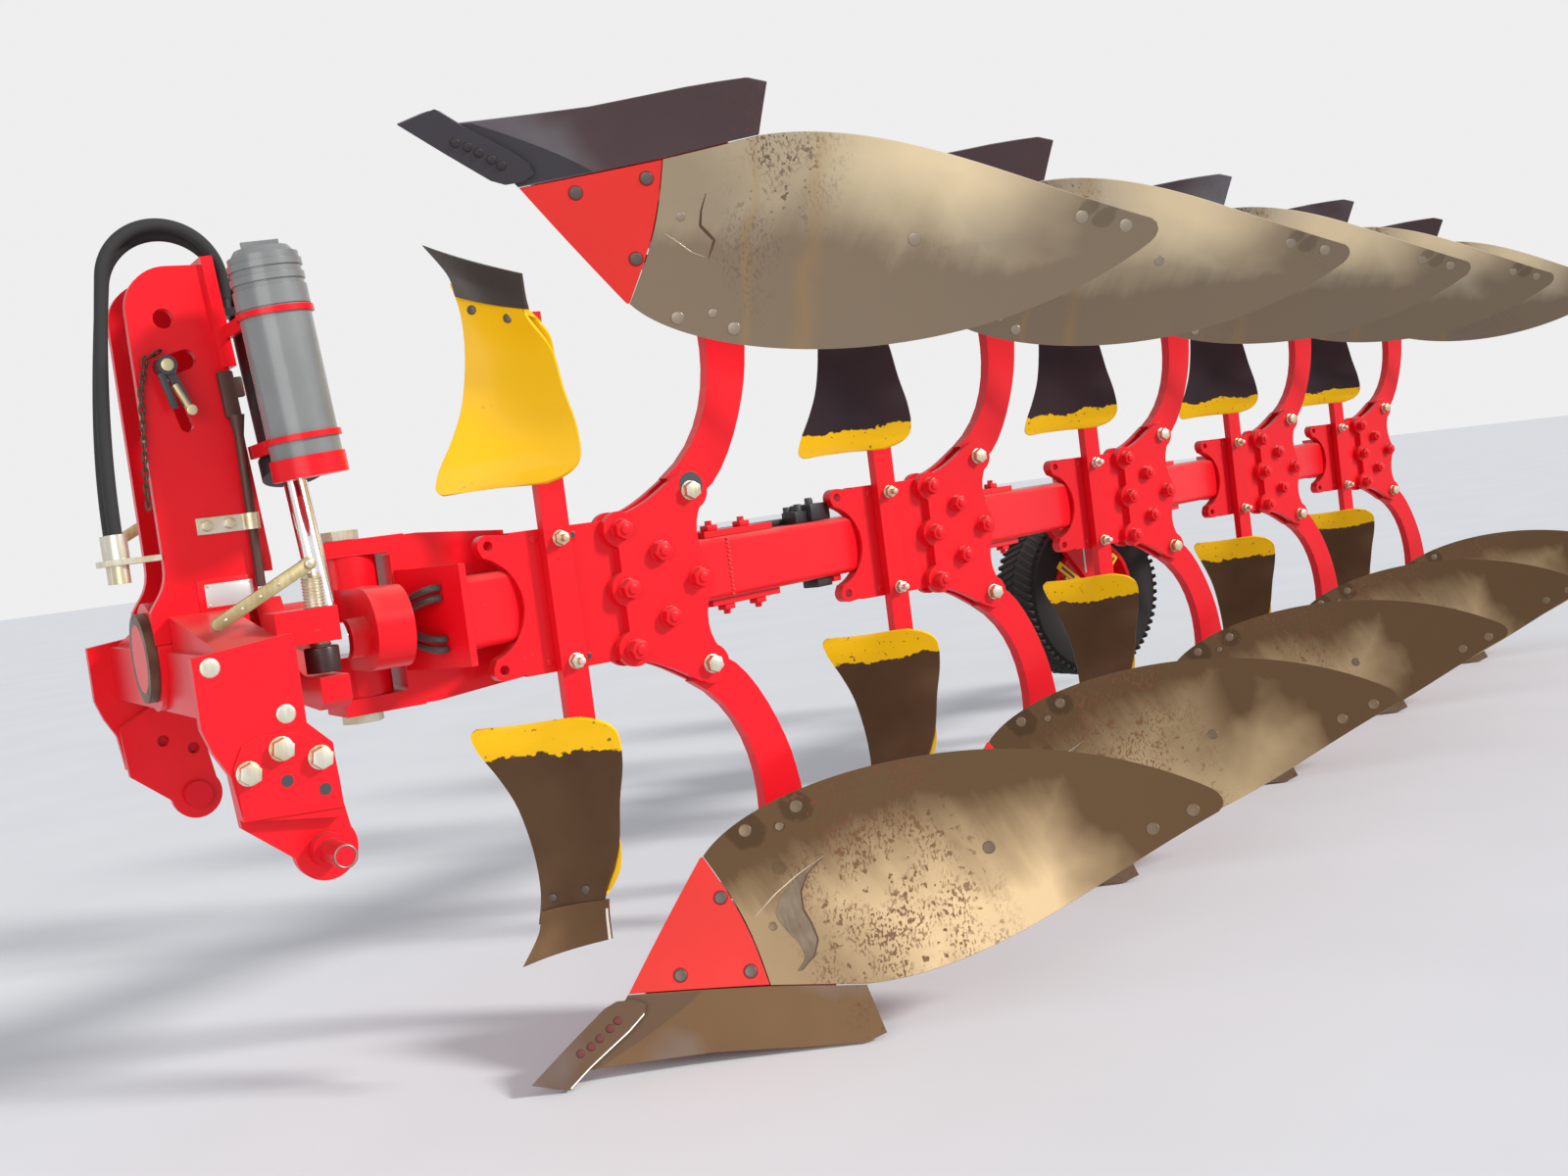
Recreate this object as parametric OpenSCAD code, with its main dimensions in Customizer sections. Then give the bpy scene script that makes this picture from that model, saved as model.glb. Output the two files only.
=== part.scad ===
/* [Frame] */
// Number of plough bodies on each side of the beam
body_count = 5; // [2:1:6]
// Distance between two bodies along the line of travel
body_pitch = 1020; // [900:10:1100]
// Width that one body cuts
furrow_w = 400; // [350:10:450]
// Height of the beam's middle above the share tips
ground_h = 878; // [800:1:950]
// Side of the square main beam
beam_s = 130; // [120:5:160]

/* [Bodies] */
// Thickness of a mouldboard, measured across the travel
board_t = 10; // [6:1:14]
// Height of the mouldboard's lowest edge below the beam's middle
share_h = 876; // [860:1:878]
// Thickness of the chisel point in front of the share
point_t = 18; // [12:1:25]
// Thickness of the console plates
console_t = 30; // [20:1:40]

/* [Headstock] */
// Sideways place of the turnover axis, from the first console's face
turn_y = 150; // [140:1:160]
// Spread of the lower link pins between their shoulders
hitch_spread = 965; // [960:1:1000]
// Diameter of a lower link pin
hitch_pin_d = 36.6; // [28:0.1:37]
// Height of the tower's top above the beam's middle
tower_top = 640; // [600:5:680]

/* [Depth wheel] */
// Radius of the depth wheel's tyre
wheel_r = 290; // [260:5:300]
// Width of the depth wheel's tyre
wheel_w = 200; // [160:5:220]

/* [Hidden] */
// Fine rings for bores and pins
$fn = 48;

// Colours of the paint and metals
red = [0.82, 0.04, 0.06];
yellow = [0.98, 0.75, 0.02];
steel = [0.55, 0.5, 0.44];
dark = [0.2, 0.2, 0.22];
zinc = [0.72, 0.7, 0.6];

// Gap left between pieces that meet on curved faces
seat = 0.4;
// Direction of the beam, which steps one furrow sideways at each body
beam_a = atan2(furrow_w, body_pitch);
// The beam's near face crosses the console plane here
beam_cross_x = -400;
// Length of the beam
beam_len = (body_pitch * (body_count - 1) + 760) / cos(beam_a);

// Middle of the whole plough in this frame, moved to the origin at the end
mid_x = 1875;
mid_y = 709;

module in_place() {
  translate([-mid_x, -mid_y, ground_h]) children();
}

// Repeats a piece of the first body at every body along the beam
module at_bodies() {
  for (k = [0:body_count - 1]) translate([k * body_pitch, k * furrow_w, 0]) children();
}

// A lower piece and its mirror image above the beam
module both_sides() {
  children();
  mirror([0, 0, 1]) children();
}

// Frame whose X axis runs along the middle of the beam
module along_beam() {
  translate([beam_cross_x, 0, 0]) rotate([0, 0, beam_a]) translate([0, beam_s / 2, 0]) children();
}
// Sideways place of the beam's far face at a distance x
function beam_far_y(x) = (x - beam_cross_x) * tan(beam_a) + beam_s / cos(beam_a);

function mix(a, b, t) = a + (b - a) * t;
// Cubic curve through p[0] and p[3] with handles p[1] and p[2]
function curve(p, t) = pow(1 - t, 3) * p[0] + 3 * t * pow(1 - t, 2) * p[1]
  + 3 * t * t * (1 - t) * p[2] + pow(t, 3) * p[3];

// Working surface of share, shin and mouldboard: sideways place y at a distance x behind the leg bolt
// and a depth h below the beam
surface_mid_h = 650;
surface_throw = -129.6;
surface_slope = [-0.555, -0.3923];
surface_bend = [-238.9e-6, -182.8e-6, -268.8e-6];
function skin_y(x, h) = surface_throw + surface_slope[0] * x + surface_slope[1] * (h - surface_mid_h)
  + surface_bend[0] * x * x + surface_bend[1] * x * (h - surface_mid_h)
  + surface_bend[2] * pow(h - surface_mid_h, 2);
// Point on the working surface, set back sideways by back
function skin(p, back = 0) = [p[0], skin_y(p[0], p[1]) + back, -p[1]];

// Closed shell between two grids of points with rows along X and columns downwards
module lofted(front, rear) {
  n = len(front);
  m = len(front[0]);
  function id(side, i, j) = side * n * m + i * m + j;
  function quad(a, b, c, d) = [[a, b, c], [a, c, d]];
  points = concat([for (row = front) each row], [for (row = rear) each row]);
  faces = concat(
    [for (i = [0:n - 2], j = [0:m - 2])
      each quad(id(0, i, j), id(0, i + 1, j), id(0, i + 1, j + 1), id(0, i, j + 1))],
    [for (i = [0:n - 2], j = [0:m - 2])
      each quad(id(1, i, j), id(1, i, j + 1), id(1, i + 1, j + 1), id(1, i + 1, j))],
    [for (i = [0:n - 2])
      each quad(id(0, i, 0), id(1, i, 0), id(1, i + 1, 0), id(0, i + 1, 0))],
    [for (i = [0:n - 2])
      each quad(id(0, i, m - 1), id(0, i + 1, m - 1), id(1, i + 1, m - 1), id(1, i, m - 1))],
    [for (j = [0:m - 2])
      each quad(id(1, 0, j), id(0, 0, j), id(0, 0, j + 1), id(1, 0, j + 1))],
    [for (j = [0:m - 2])
      each quad(id(0, n - 1, j), id(1, n - 1, j), id(1, n - 1, j + 1), id(0, n - 1, j + 1))]);
  polyhedron(points, faces);
}

// Tube swept along a route of points, with flat ends square to the route
hose_sides = 8;
function unit(v) = v / norm(v);
function heading(path, i) = unit(path[min(i + 1, len(path) - 1)] - path[max(i - 1, 0)]);
module swept_tube(path, r) {
  n = len(path);
  across = unit(cross(heading(path, 0), [0.13, 0.97, 0.21]));
  function side_at(i) = let (t = heading(path, i)) unit(across - t * (across * t));
  points = [for (i = [0:n - 1]) let (t = heading(path, i), a = side_at(i), b = cross(t, a))
    for (s = [0:hose_sides - 1]) path[i] + r * (a * cos(360 * s / hose_sides) + b * sin(360 * s / hose_sides))];
  sides = [for (i = [0:n - 2], s = [0:hose_sides - 1]) let (q = (s + 1) % hose_sides)
    each [[i * hose_sides + s, (i + 1) * hose_sides + s, (i + 1) * hose_sides + q],
      [i * hose_sides + s, (i + 1) * hose_sides + q, i * hose_sides + q]]];
  polyhedron(points, concat(sides, [[for (s = [0:hose_sides - 1]) s]],
    [[for (s = [hose_sides - 1:-1:0]) (n - 1) * hose_sides + s]]));
}
// Smooth route through chosen points, with a few steps between each two
function smooth_route(p, steps) = [for (i = [0:len(p) - 2], s = [0:steps - 1])
  let (a = p[max(i - 1, 0)], b = p[i], c = p[i + 1], d = p[min(i + 2, len(p) - 1)], t = s / steps)
    0.5 * (2 * b + (c - a) * t + (2 * a - 5 * b + 4 * c - d) * t * t + (3 * b - a - 3 * c + d) * t * t * t),
  p[len(p) - 1]];

// Plate in the XZ plane from sideways place y0, t thick
module side_plate(y0, t) {
  translate([0, y0 + t, 0]) rotate([90, 0, 0]) linear_extrude(t) children();
}
// Round bar along Y from y0 to y1 at [x, z]
module cross_bar(x, z, y0, y1, r) {
  translate([x, y1, z]) rotate([90, 0, 0]) cylinder(h = y1 - y0, r = r);
}
// Round bar along X
module long_bar(y, z, x0, x1, r) {
  translate([x0, y, z]) rotate([0, 90, 0]) cylinder(h = x1 - x0, r = r);
}

// Mouldboard: upper edge from the shin to the tail, and lower edge along the share to the tail
board_top = [[-92, 522], [20, 400], [480, 310], [716, 524]];
board_front_low = [-46, 762];
board_heel = [103, 780.5];
board_low = [board_heel, [300, 785], [500, 650], [716, 537]];
board_cols = 14;
board_rows = 7;
board_nose_share = 0.14;
board_nose_bulge = 14;
function board_low_at(u) = u < board_nose_share ? mix(board_front_low, board_heel, u / board_nose_share)
  : curve(board_low, (u - board_nose_share) / (1 - board_nose_share));
function board_point(u, v) = mix(curve(board_top, u), board_low_at(u), v)
  + [board_nose_bulge * sin(180 * v) * max(0, 1 - 4 * u), 0];
board_us = [0, 0.07, board_nose_share, each [for (i = [1:board_cols - 3])
  mix(board_nose_share, 1, i / (board_cols - 3))]];
module board() {
  lofted([for (u = board_us) [for (j = [0:board_rows]) skin(board_point(u, j / board_rows))]],
    [for (u = board_us) [for (j = [0:board_rows]) skin(board_point(u, j / board_rows), board_t)]]);
}
module boards() {
  color(steel) in_place() at_bodies() both_sides() board();
}

// Shin: three-cornered wear piece in front of the mouldboard
shin_top = [-98, 524];
shin_front = [-277, 740];
shin_rear = [-48, 761];
shin_steps = 4;
module shin() {
  function edge(u, v) = mix(mix(shin_top, shin_top + [5, -1], u), mix(shin_front, shin_rear, u), v)
    + [(board_nose_bulge - 1) * sin(180 * v) * u, 0];
  grid = [for (i = [0:shin_steps]) [for (j = [0:shin_steps]) edge(i / shin_steps, j / shin_steps)]];
  lofted([for (row = grid) [for (p = row) skin(p)]], [for (row = grid) [for (p = row) skin(p, board_t)]]);
}
module shins() {
  color(red) in_place() at_bodies() both_sides() shin();
}

// Share: blade under the mouldboard, and the chisel point bolted ahead of it
share_top = [[-279, 742], [-150, 754], [-48, 764], [60, 778], [102, 782.5]];
share_edge = [[-378, share_h - 22], [-170, share_h - 17], [-20, share_h - 4], [70, share_h], [105, share_h - 12]];
share_edge_t = 3;
// Chisel point, a bar on the share's front: upper and lower edge from its tip to its round end
point_upper = [[-481, 856], [-406, 805], [-330, 754], [-306, 745], [-278, 747]];
point_lower = [[-422, ground_h - 2], [-378, 846], [-300, 799], [-268, 775], [-260, 758]];
point_sink = 2;
module share_blade() {
  function along(line, u) = let (i = min(floor(4 * u), 3)) mix(line[i], line[i + 1], 4 * u - i);
  us = [for (i = [0:8]) i / 8];
  lofted([for (u = us) [skin(along(share_top, u)), skin(mix(along(share_top, u), along(share_edge, u), 0.5)),
      skin(along(share_edge, u))]],
    [for (u = us) [skin(along(share_top, u), board_t + 2),
      skin(mix(along(share_top, u), along(share_edge, u), 0.5), board_t),
      skin(along(share_edge, u), share_edge_t)]]);
}
module share_point() {
  function across(i, back) = [for (v = [0, 0.5, 1]) skin(mix(point_upper[i], point_lower[i], v), back)];
  lofted([for (i = [0:4]) across(i, -point_t)], [for (i = [0:4]) across(i, point_sink)]);
}
module shares() {
  color(steel) in_place() at_bodies() both_sides() {
    share_blade();
    share_point();
  }
}

// Console: plate with two ears, cut out round the beam, and its bracket behind
ear_x = -419;
ear_z = 112;
ear_r = 20;
ear_hole_r = 9;
gap_x = -462;
gap_r = 97;
console_front_x = -378;
console_end_x = -20;
console_top_z = 131;
stalk_x = -294;
module console_outline() {
  difference() {
    union() {
      translate([console_front_x, -console_top_z]) square([console_end_x - console_front_x, 2 * console_top_z]);
      for (s = [-1, 1]) hull() {
        translate([ear_x, s * ear_z]) circle(ear_r);
        translate([console_front_x, s * (console_top_z - 65)]) square([20, 120], center = true);
      }
    }
    translate([gap_x, 0]) circle(gap_r);
    for (s = [-1, 1]) translate([ear_x, s * ear_z]) circle(ear_hole_r);
  }
}
// Leg plate: spreads from three scalloped bolt bosses to the two leg arms
leg_bolt = [-7, 167];
boss_r = 34;
lobe_r = 38;
left_bosses = [[-163, 111], [-161, -1], [-163, -113]];
nose_boss = [-12, 0];
arm_edge = [[-176, 134], [-116, 144], [-84, 166], [-33, 198]];
nose_edge = [[31, 160], [-14, 116], [-10, 66], [19, 8]];
leg_plate_t = 16;
curve_steps = 8;
module leg_plate_outline() {
  for (s = [-1, 1]) {
    polygon([for (t = [0:curve_steps]) let (p = curve(arm_edge, t / curve_steps)) [p[0], s * p[1]],
      [leg_bolt[0], s * leg_bolt[1]],
      for (t = [0:curve_steps]) let (p = curve(nose_edge, t / curve_steps)) [p[0], s * p[1]],
      [nose_boss[0], 0], [left_bosses[1][0], 0], [left_bosses[0][0], s * left_bosses[0][1]]]);
    translate([leg_bolt[0], s * leg_bolt[1]]) circle(lobe_r);
  }
  for (b = left_bosses) translate(b) circle(boss_r);
  translate(nose_boss) circle(boss_r);
  translate([-171, -96]) square([80, 192]);
}
// Plates above and below the beam that carry the console
bracket_plate_t = 12;
bracket_outline = [[-310, console_t], [-310, 90], [-270, 190], [-20, 292], [70, 320], [70, 200],
  [console_end_x, console_t]];
// Room for the beam in the plates that it passes through
module beam_room(gap) {
  along_beam() translate([-2 * beam_s, -beam_s / 2 - gap, -beam_s / 2 - gap])
    cube([8 * beam_s, beam_s + 2 * gap, beam_s + 2 * gap]);
}
module console() {
  difference() {
    side_plate(0, console_t) console_outline();
    beam_room(seat);
  }
  for (y = [-leg_plate_t, console_t]) side_plate(y, leg_plate_t) leg_plate_outline();
  for (s = [-1, 1]) translate([0, 0, s * (beam_s + bracket_plate_t) / 2])
    linear_extrude(bracket_plate_t, center = true) polygon(bracket_outline);
}
module consoles() {
  color(red) in_place() at_bodies() console();
}

// Legs: bent flat bars between the leg plates, with the foot behind the board
leg_t = console_t - 1;
leg_front_edge = [[-47, 196], [60, 262], [84, 380], [78, 470], [72, 560], [40, 640], [-120, 700]];
leg_rear_edge = [[140, 690], [176, 600], [178, 500], [160, 400], [150, 330], [92, 190], [32, 160]];
foot_edge = [[-240, 748], [-180, 800], [40, 800]];
module leg_outline() {
  polygon(concat(
    [for (t = [0:curve_steps]) curve([for (i = [0:3]) leg_front_edge[i]], t / curve_steps)],
    [for (t = [1:curve_steps]) curve([for (i = [3:6]) leg_front_edge[i]], t / curve_steps)],
    foot_edge,
    [for (t = [0:curve_steps]) curve([for (i = [0:3]) leg_rear_edge[i]], t / curve_steps)],
    [for (t = [1:curve_steps]) curve([for (i = [3:6]) leg_rear_edge[i]], t / curve_steps)],
    [leg_bolt]));
}
rib_depths = [600, 690, 775];
rib_t = 14;
rib_front_x = [-95, -170, -215];
rib_rear_x = [120, 110, 60];
module foot_rib(i) {
  h = rib_depths[i];
  xs = [for (s = [0:4]) mix(rib_front_x[i], rib_rear_x[i], s / 4)];
  lofted([for (x = xs) [skin([x, h - rib_t / 2], board_t + seat + 2), skin([x, h + rib_t / 2], board_t + seat + 2)]],
    [for (x = xs) [[x, console_t / 2, -h + rib_t / 2], [x, console_t / 2, -h - rib_t / 2]]]);
}
module leg() {
  mirror([0, 0, 1]) side_plate((console_t - leg_t) / 2, leg_t) leg_outline();
  for (i = [0:2]) foot_rib(i);
}
module legs() {
  color(red) in_place() at_bodies() both_sides() leg();
}

// Landside: flat plate that slides along the furrow wall, with its spacer
landside_y = 62;
landside_t = 12;
module landside() {
  side_plate(landside_y, landside_t) polygon([[-270, -790], [-300, -ground_h], [150, -ground_h],
    [150, -800], [130, -790]]);
  side_plate((console_t + leg_t) / 2 + seat, landside_y - (console_t + leg_t) / 2 - seat)
    polygon([[-190, -792], [-190, -770], [20, -770], [20, -792]]);
}
module landsides() {
  color(dark) in_place() at_bodies() both_sides() landside();
}

// Skimmer: small board on a flat stalk. Rows give depth, land edge x, wing edge x, land y, wing y
skim_rows = [
  [212, -480, -330, 23, -88],
  [221, -489, -303, 30, -109],
  [238, -486, -280, 30, -120],
  [262, -475, -272, 30, -122],
  [310, -445, -271, 32, -114],
  [370, -417, -281, 34, -104],
  [455, -399, -290, 34, -88],
  [530, -397, -305, 30, -78],
  [585, -411, -323, 28, -70]];
skim_tip = [655, -451, -323, 44, -74];
skim_cols = 4;
skim_t = 8;
skim_hollow = 14;
stalk_w = 52;
stalk_t = 25;
stalk_end = 520;
function skim_point(r, u, back) = [mix(r[1], r[2], u),
  mix(r[3], r[4], u) + skim_hollow * sin(180 * u) + back, -r[0]];
module skim_sheet(rows, back) {
  lofted([for (i = [0:skim_cols]) [for (r = rows) skim_point(r, i / skim_cols, back)]],
    [for (i = [0:skim_cols]) [for (r = rows) skim_point(r, i / skim_cols, back + skim_t)]]);
}
skim_joint = [[560, -409, -319, 28, -72], [600, -417, -321, 32, -70]];
skim_block = [14, 34, 110];
module skimmer_boards() {
  color(yellow) in_place() at_bodies() both_sides() {
    skim_sheet(skim_rows, 0);
    translate([stalk_x - 12, stalk_y - seat - skim_block[1], -500]) cube(skim_block);
  }
}
module skimmer_blades() {
  color(dark) in_place() at_bodies() both_sides()
    skim_sheet([skim_joint[0], skim_joint[1], skim_tip], -skim_t - 4);
}
stalk_y = -leg_plate_t - 10;
module skimmer_stalks() {
  color(red) in_place() at_bodies()
    translate([stalk_x - stalk_w / 2, stalk_y, -stalk_end]) cube([stalk_w, stalk_t, 2 * stalk_end]);
}

// Main beam: square tube with rounded corners, open at the rear end
beam_corner = 14;
beam_wall = 10;
beam_front_x = -106;
module rounded_square(s, r) {
  for (a = [0, 90]) rotate(a) square([s, s - 2 * r], center = true);
  for (i = [-1, 1], j = [-1, 1]) translate([i * (s / 2 - r), j * (s / 2 - r)]) circle(r);
}
module beam() {
  color(red) in_place() along_beam() difference() {
    translate([beam_front_x, 0, 0]) rotate([90, 0, 90]) linear_extrude(beam_len)
      rounded_square(beam_s, beam_corner);
    translate([beam_front_x - 1, 0, 0]) rotate([90, 0, 90]) linear_extrude(beam_len + 2)
      rounded_square(beam_s - 2 * beam_wall, beam_corner - beam_wall + 2);
  }
}
// Flange plate on the beam's front end
flange_s = 180;
flange_t = 15;
module beam_flange() {
  color(red) in_place() along_beam() translate([beam_front_x - flange_t, -flange_s / 2, -flange_s / 2])
    cube([flange_t, flange_s, flange_s]);
}
// Clamp strips on the beam's top and bottom behind each console
clamp_start = 600;
clamp_len = 235;
clamp_w = 90;
clamp_t = 14;
module beam_clamps() {
  color(red) in_place() at_bodies() both_sides()
    along_beam() translate([clamp_start, -clamp_w / 2, beam_s / 2 + seat])
      cube([clamp_len, clamp_w, clamp_t]);
}
// Four thin hoses from a block on the fork's web to the front of the beam's flange, with their heights
beam_hose_r = 7;
beam_hose_ends = [[25, 52], [9, 34], [-9, -38], [-25, -56]];
beam_hose_way = [[-578, 94.8], [-578, 75], [-573, 44], [-563, 12], [-550, -8], [-537, -17], [-525.6, -16]];
function ease(t) = t * t * (3 - 2 * t);
module beam_hoses() {
  n = len(beam_hose_way) - 1;
  color(dark) in_place() for (e = beam_hose_ends) swept_tube(smooth_route(
    [for (i = [0:n]) [beam_hose_way[i][0], beam_hose_way[i][1], mix(e[0], e[1], ease(min(i / (n - 1), 1)))]], 3),
    beam_hose_r);
}

// Fork: C-shaped frame that swings on the upright pin and carries the beam
swing_x = -640;
fork_top = 155;
fork_arm_t = 30;
fork_w = 120;
fork_rear_x = -500;
swing_pin_r = 25;
block_half_h = fork_top - fork_arm_t - 0.5;
module fork() {
  color(red) in_place() difference() {
    union() {
      fork_solid();
      translate(hose_block_at) cube(hose_block);
    }
    beam_room(seat);
    along_beam() translate([beam_front_x - flange_t - seat, -flange_s / 2 - seat, -flange_s / 2 - seat])
      cube([flange_t + 2 * seat, flange_s + 2 * seat, flange_s + 2 * seat]);
    translate([swing_x, turn_y, -200]) cylinder(h = 400, r = swing_pin_r + 0.05);
  }
}
neck = [[-575, 153], [-515, 153], [-350, 138], [-350, -138], [-515, -153], [-575, -153]];
fork_inner_x = -570;
fork_corner_r = 8;
// Block on the web that the thin hoses start from
hose_block_at = [-587, 96, -40];
hose_block = [18, 10, 80];
module fork_solid() {
  side_plate(turn_y - fork_w / 2, fork_w) difference() {
    union() {
      translate([swing_x - 45, -fork_top]) square([75, 2 * fork_top]);
      polygon(neck);
      for (s = [-1, 1]) translate([-610, s * (fork_top - 20)]) square([140, 40], center = true);
    }
    hull() for (s = [-1, 1]) {
      translate([fork_inner_x - fork_corner_r, s * (fork_top - fork_arm_t - fork_corner_r)]) circle(fork_corner_r);
      translate([swing_x - 60, s * (fork_top - fork_arm_t - 10)]) square([20, 20], center = true);
    }
  }
}
module swing_pin() {
  color(zinc) in_place() translate([swing_x, turn_y, 0]) {
    cylinder(h = 2 * (fork_top + 14), r = swing_pin_r, center = true);
    for (s = [-1, 1]) translate([0, 0, s * (fork_top + 9)]) cylinder(h = 17, r = 38, center = true, $fn = 6);
  }
}

// Turnover shaft with its upright hub, crank arm and stop arm
shaft_r = 58;
crank_y = -50;
crank_boss_r = 70;
crank_x0 = -675;
crank_x1 = -610;
stop_y = -200;
stop_x = -793;
stop_top_z = -48;
stop_arm_x0 = -812;
stop_arm_t = 46;
module side_arm() {
  difference() {
    translate([stop_arm_x0, 0, 0]) rotate([90, 0, 90]) linear_extrude(stop_arm_t)
      polygon([[225, -40], [195, -74], [120, -88], [-215, -104], [-238, -92], [-238, stop_top_z - 4],
        [-150, stop_top_z - 4], [70, 20], [105, 74], [195, 74], [225, 40]]);
    long_bar(turn_y, 0, -1010, -600, shaft_r - 5);
  }
}
module turn_shaft() {
  color(red) in_place() {
    difference() {
      union() {
        long_bar(turn_y, 0, -1001, swing_x, shaft_r);
        translate([swing_x, turn_y, 0]) cylinder(h = 2 * block_half_h, r = 60, center = true);
        translate([crank_x0, crank_y, -crank_boss_r]) cube([crank_x1 - crank_x0, turn_y - crank_y, 2 * crank_boss_r]);
        long_bar(crank_y, 0, crank_x0, crank_x1, crank_boss_r);
        long_bar(crank_y, cyl_low[2], cyl_x + 24, crank_x0 + 1, 34);
      }
      translate([swing_x, turn_y, -200]) cylinder(h = 400, r = swing_pin_r);
    }
    side_arm();
  }
}

// Headstock tower: two side plates and a closing plate at the rear
tower_half = 90;
tower_t = 20;
tower_front_x = -958;
tower_rear_x = -797;
top_hole = [-901, 554];
slot_front = [-912, 474];
slot_rear = [-875, 485];
link_r = 16.3;
closing_len = 186;
closing_lean = -4.5;
tower_rear_top = -822;
tower_rear_low = -784;
module tower_outline() {
  difference() {
    union() {
      hull() {
        translate([tower_front_x + 72, tower_top - 72]) circle(72);
        translate([tower_rear_top - 20, tower_top - 10]) square([20, 10]);
        translate([-957, 150]) square([10, 10]);
        translate([tower_rear_low - 10, 120]) square([10, 20]);
      }
      polygon([for (t = [0:curve_steps]) curve([[-957, 152], [-957, 110], [-975, 100], [-989, 76]], t / curve_steps),
        [-989, 10], [tower_rear_x - 36, 10], [tower_rear_x - 36, 90], [tower_rear_low - 10, 125]]);
    }
    translate(top_hole) circle(link_r);
    hull() for (p = [slot_front, slot_rear]) translate(p) circle(link_r);
    hull() for (p = [slot_front, [-888, 376]]) translate(p) circle(11);
  }
}
module tower() {
  color(red) in_place() {
    difference() {
      for (y = [turn_y - tower_half, turn_y + tower_half - tower_t]) side_plate(y, tower_t) tower_outline();
      long_bar(turn_y, 0, -1010, -600, hub_flange_r + seat);
    }
    // Closing plate, leaning with the rear edge
    translate([tower_rear_top - 8, turn_y - tower_half - 8, tower_top + 12]) rotate([0, closing_lean, 0])
      translate([0, 0, -closing_len]) cube([tower_t, 2 * tower_half + 16, closing_len]);
  }
}
// Hub housing that the turnover shaft runs in
hub_front_x = -985;
hub_rear_x = -830;
hub_r = 88;
hub_flange_r = 92;
module hub_housing() {
  color(red) in_place() difference() {
    union() {
      long_bar(turn_y, 0, hub_front_x, hub_rear_x, hub_r - 6);
      long_bar(turn_y, 0, hub_front_x, hub_front_x + 70, hub_flange_r);
      long_bar(turn_y, 0, hub_rear_x - 18, hub_rear_x, hub_r);
    }
    long_bar(turn_y, 0, -1010, -600, shaft_r + 0.06);
  }
}
// Lock nut on the shaft's front end
module lock_nut() {
  color(dark) in_place() difference() {
    long_bar(turn_y, 0, -1001, hub_front_x - 0.5, 76);
    long_bar(turn_y, 0, -1010, -900, shaft_r);
  }
}
// Box across the headstock, with the hub through it
box_x0 = -975;
box_x1 = -865;
box_z0 = -92;
box_z1 = 9;
cheek_half = hitch_spread / 2;
cheek_t = 22;
module cross_box() {
  color(red) in_place() {
    difference() {
      translate([box_x0, turn_y - cheek_half + cheek_t, box_z0])
        cube([box_x1 - box_x0, 2 * (cheek_half - cheek_t), box_z1 - box_z0]);
      long_bar(turn_y, 0, -1010, -600, hub_flange_r + seat);
    }
    // Gussets that rise from the cheeks to the tower's foot
    for (s = [-1, 1]) translate([0, turn_y, 0]) mirror([0, s > 0 ? 1 : 0, 0])
      translate([box_x0 + 12, 0, 0]) rotate([90, 0, 90]) linear_extrude(box_x1 - box_x0 - 12)
        polygon([[-cheek_half + cheek_t, box_z1 - 1], [-hub_flange_r - 1, box_z1 - 1], [-hub_flange_r - 1, 66]]);
  }
}
// Cheeks at both ends of the box
cheek_outline = [[-1015, 13], [-884, 27], [-866, 27], [-866, -106], [-832, -142], [-832, -255], [-976, -232],
  [-984, -165], [-1003, -128], [-1015, -91]];
module cheeks() {
  color(red) in_place() for (y = [turn_y - cheek_half, turn_y + cheek_half - cheek_t])
    side_plate(y, cheek_t) polygon(cheek_outline);
}
// Bolted hitch plates that hold the lower link pins
hitch_pin_at = [-858, -300];
hitch_outline = [[-982, -152], [-914, -112], [-896, -112], [-838, -138], [-826, -230], [-812, -300]];
hitch_plate_t = 20;
module hitch_plate_shape() {
  difference() {
    union() {
      polygon([[-982, -150], [-914, -112], [-896, -112], [-838, -138], [-815, -290], [-900, -310], [-975, -245]]);
      translate(hitch_pin_at) circle(48);
    }
    translate(hitch_pin_at) circle(hitch_pin_d / 2 + 8);
    for (p = [[-906, -186], [-852, -210]]) translate(p) circle(11);
  }
}
module hitch_plates() {
  color(red) in_place() for (y = [turn_y - cheek_half + cheek_t, turn_y + cheek_half - cheek_t - hitch_plate_t])
    side_plate(y, hitch_plate_t) hitch_plate_shape();
}
module hitch_pins() {
  color(red) in_place() for (s = [-1, 1]) {
    y0 = turn_y + s * cheek_half;
    cross_bar(hitch_pin_at[0], hitch_pin_at[1], min(y0, y0 + s * 75), max(y0, y0 + s * 75), hitch_pin_d / 2);
    cross_bar(hitch_pin_at[0], hitch_pin_at[1], min(y0, y0 - s * 60), max(y0, y0 - s * 60), hitch_pin_d / 2 + 8);
  }
}
// Pin for the top link, in the front end of the tower's slot
module top_pin() {
  color(dark) in_place() {
    cross_bar(slot_front[0], slot_front[1], turn_y - tower_half - 34, turn_y + tower_half + 30, 15.9);
    translate([slot_front[0], turn_y - tower_half - 24, slot_front[1]]) rotate([0, -20, 0])
      translate([-7, -6, -70]) cube([14, 12, 60]);
  }
}

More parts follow.
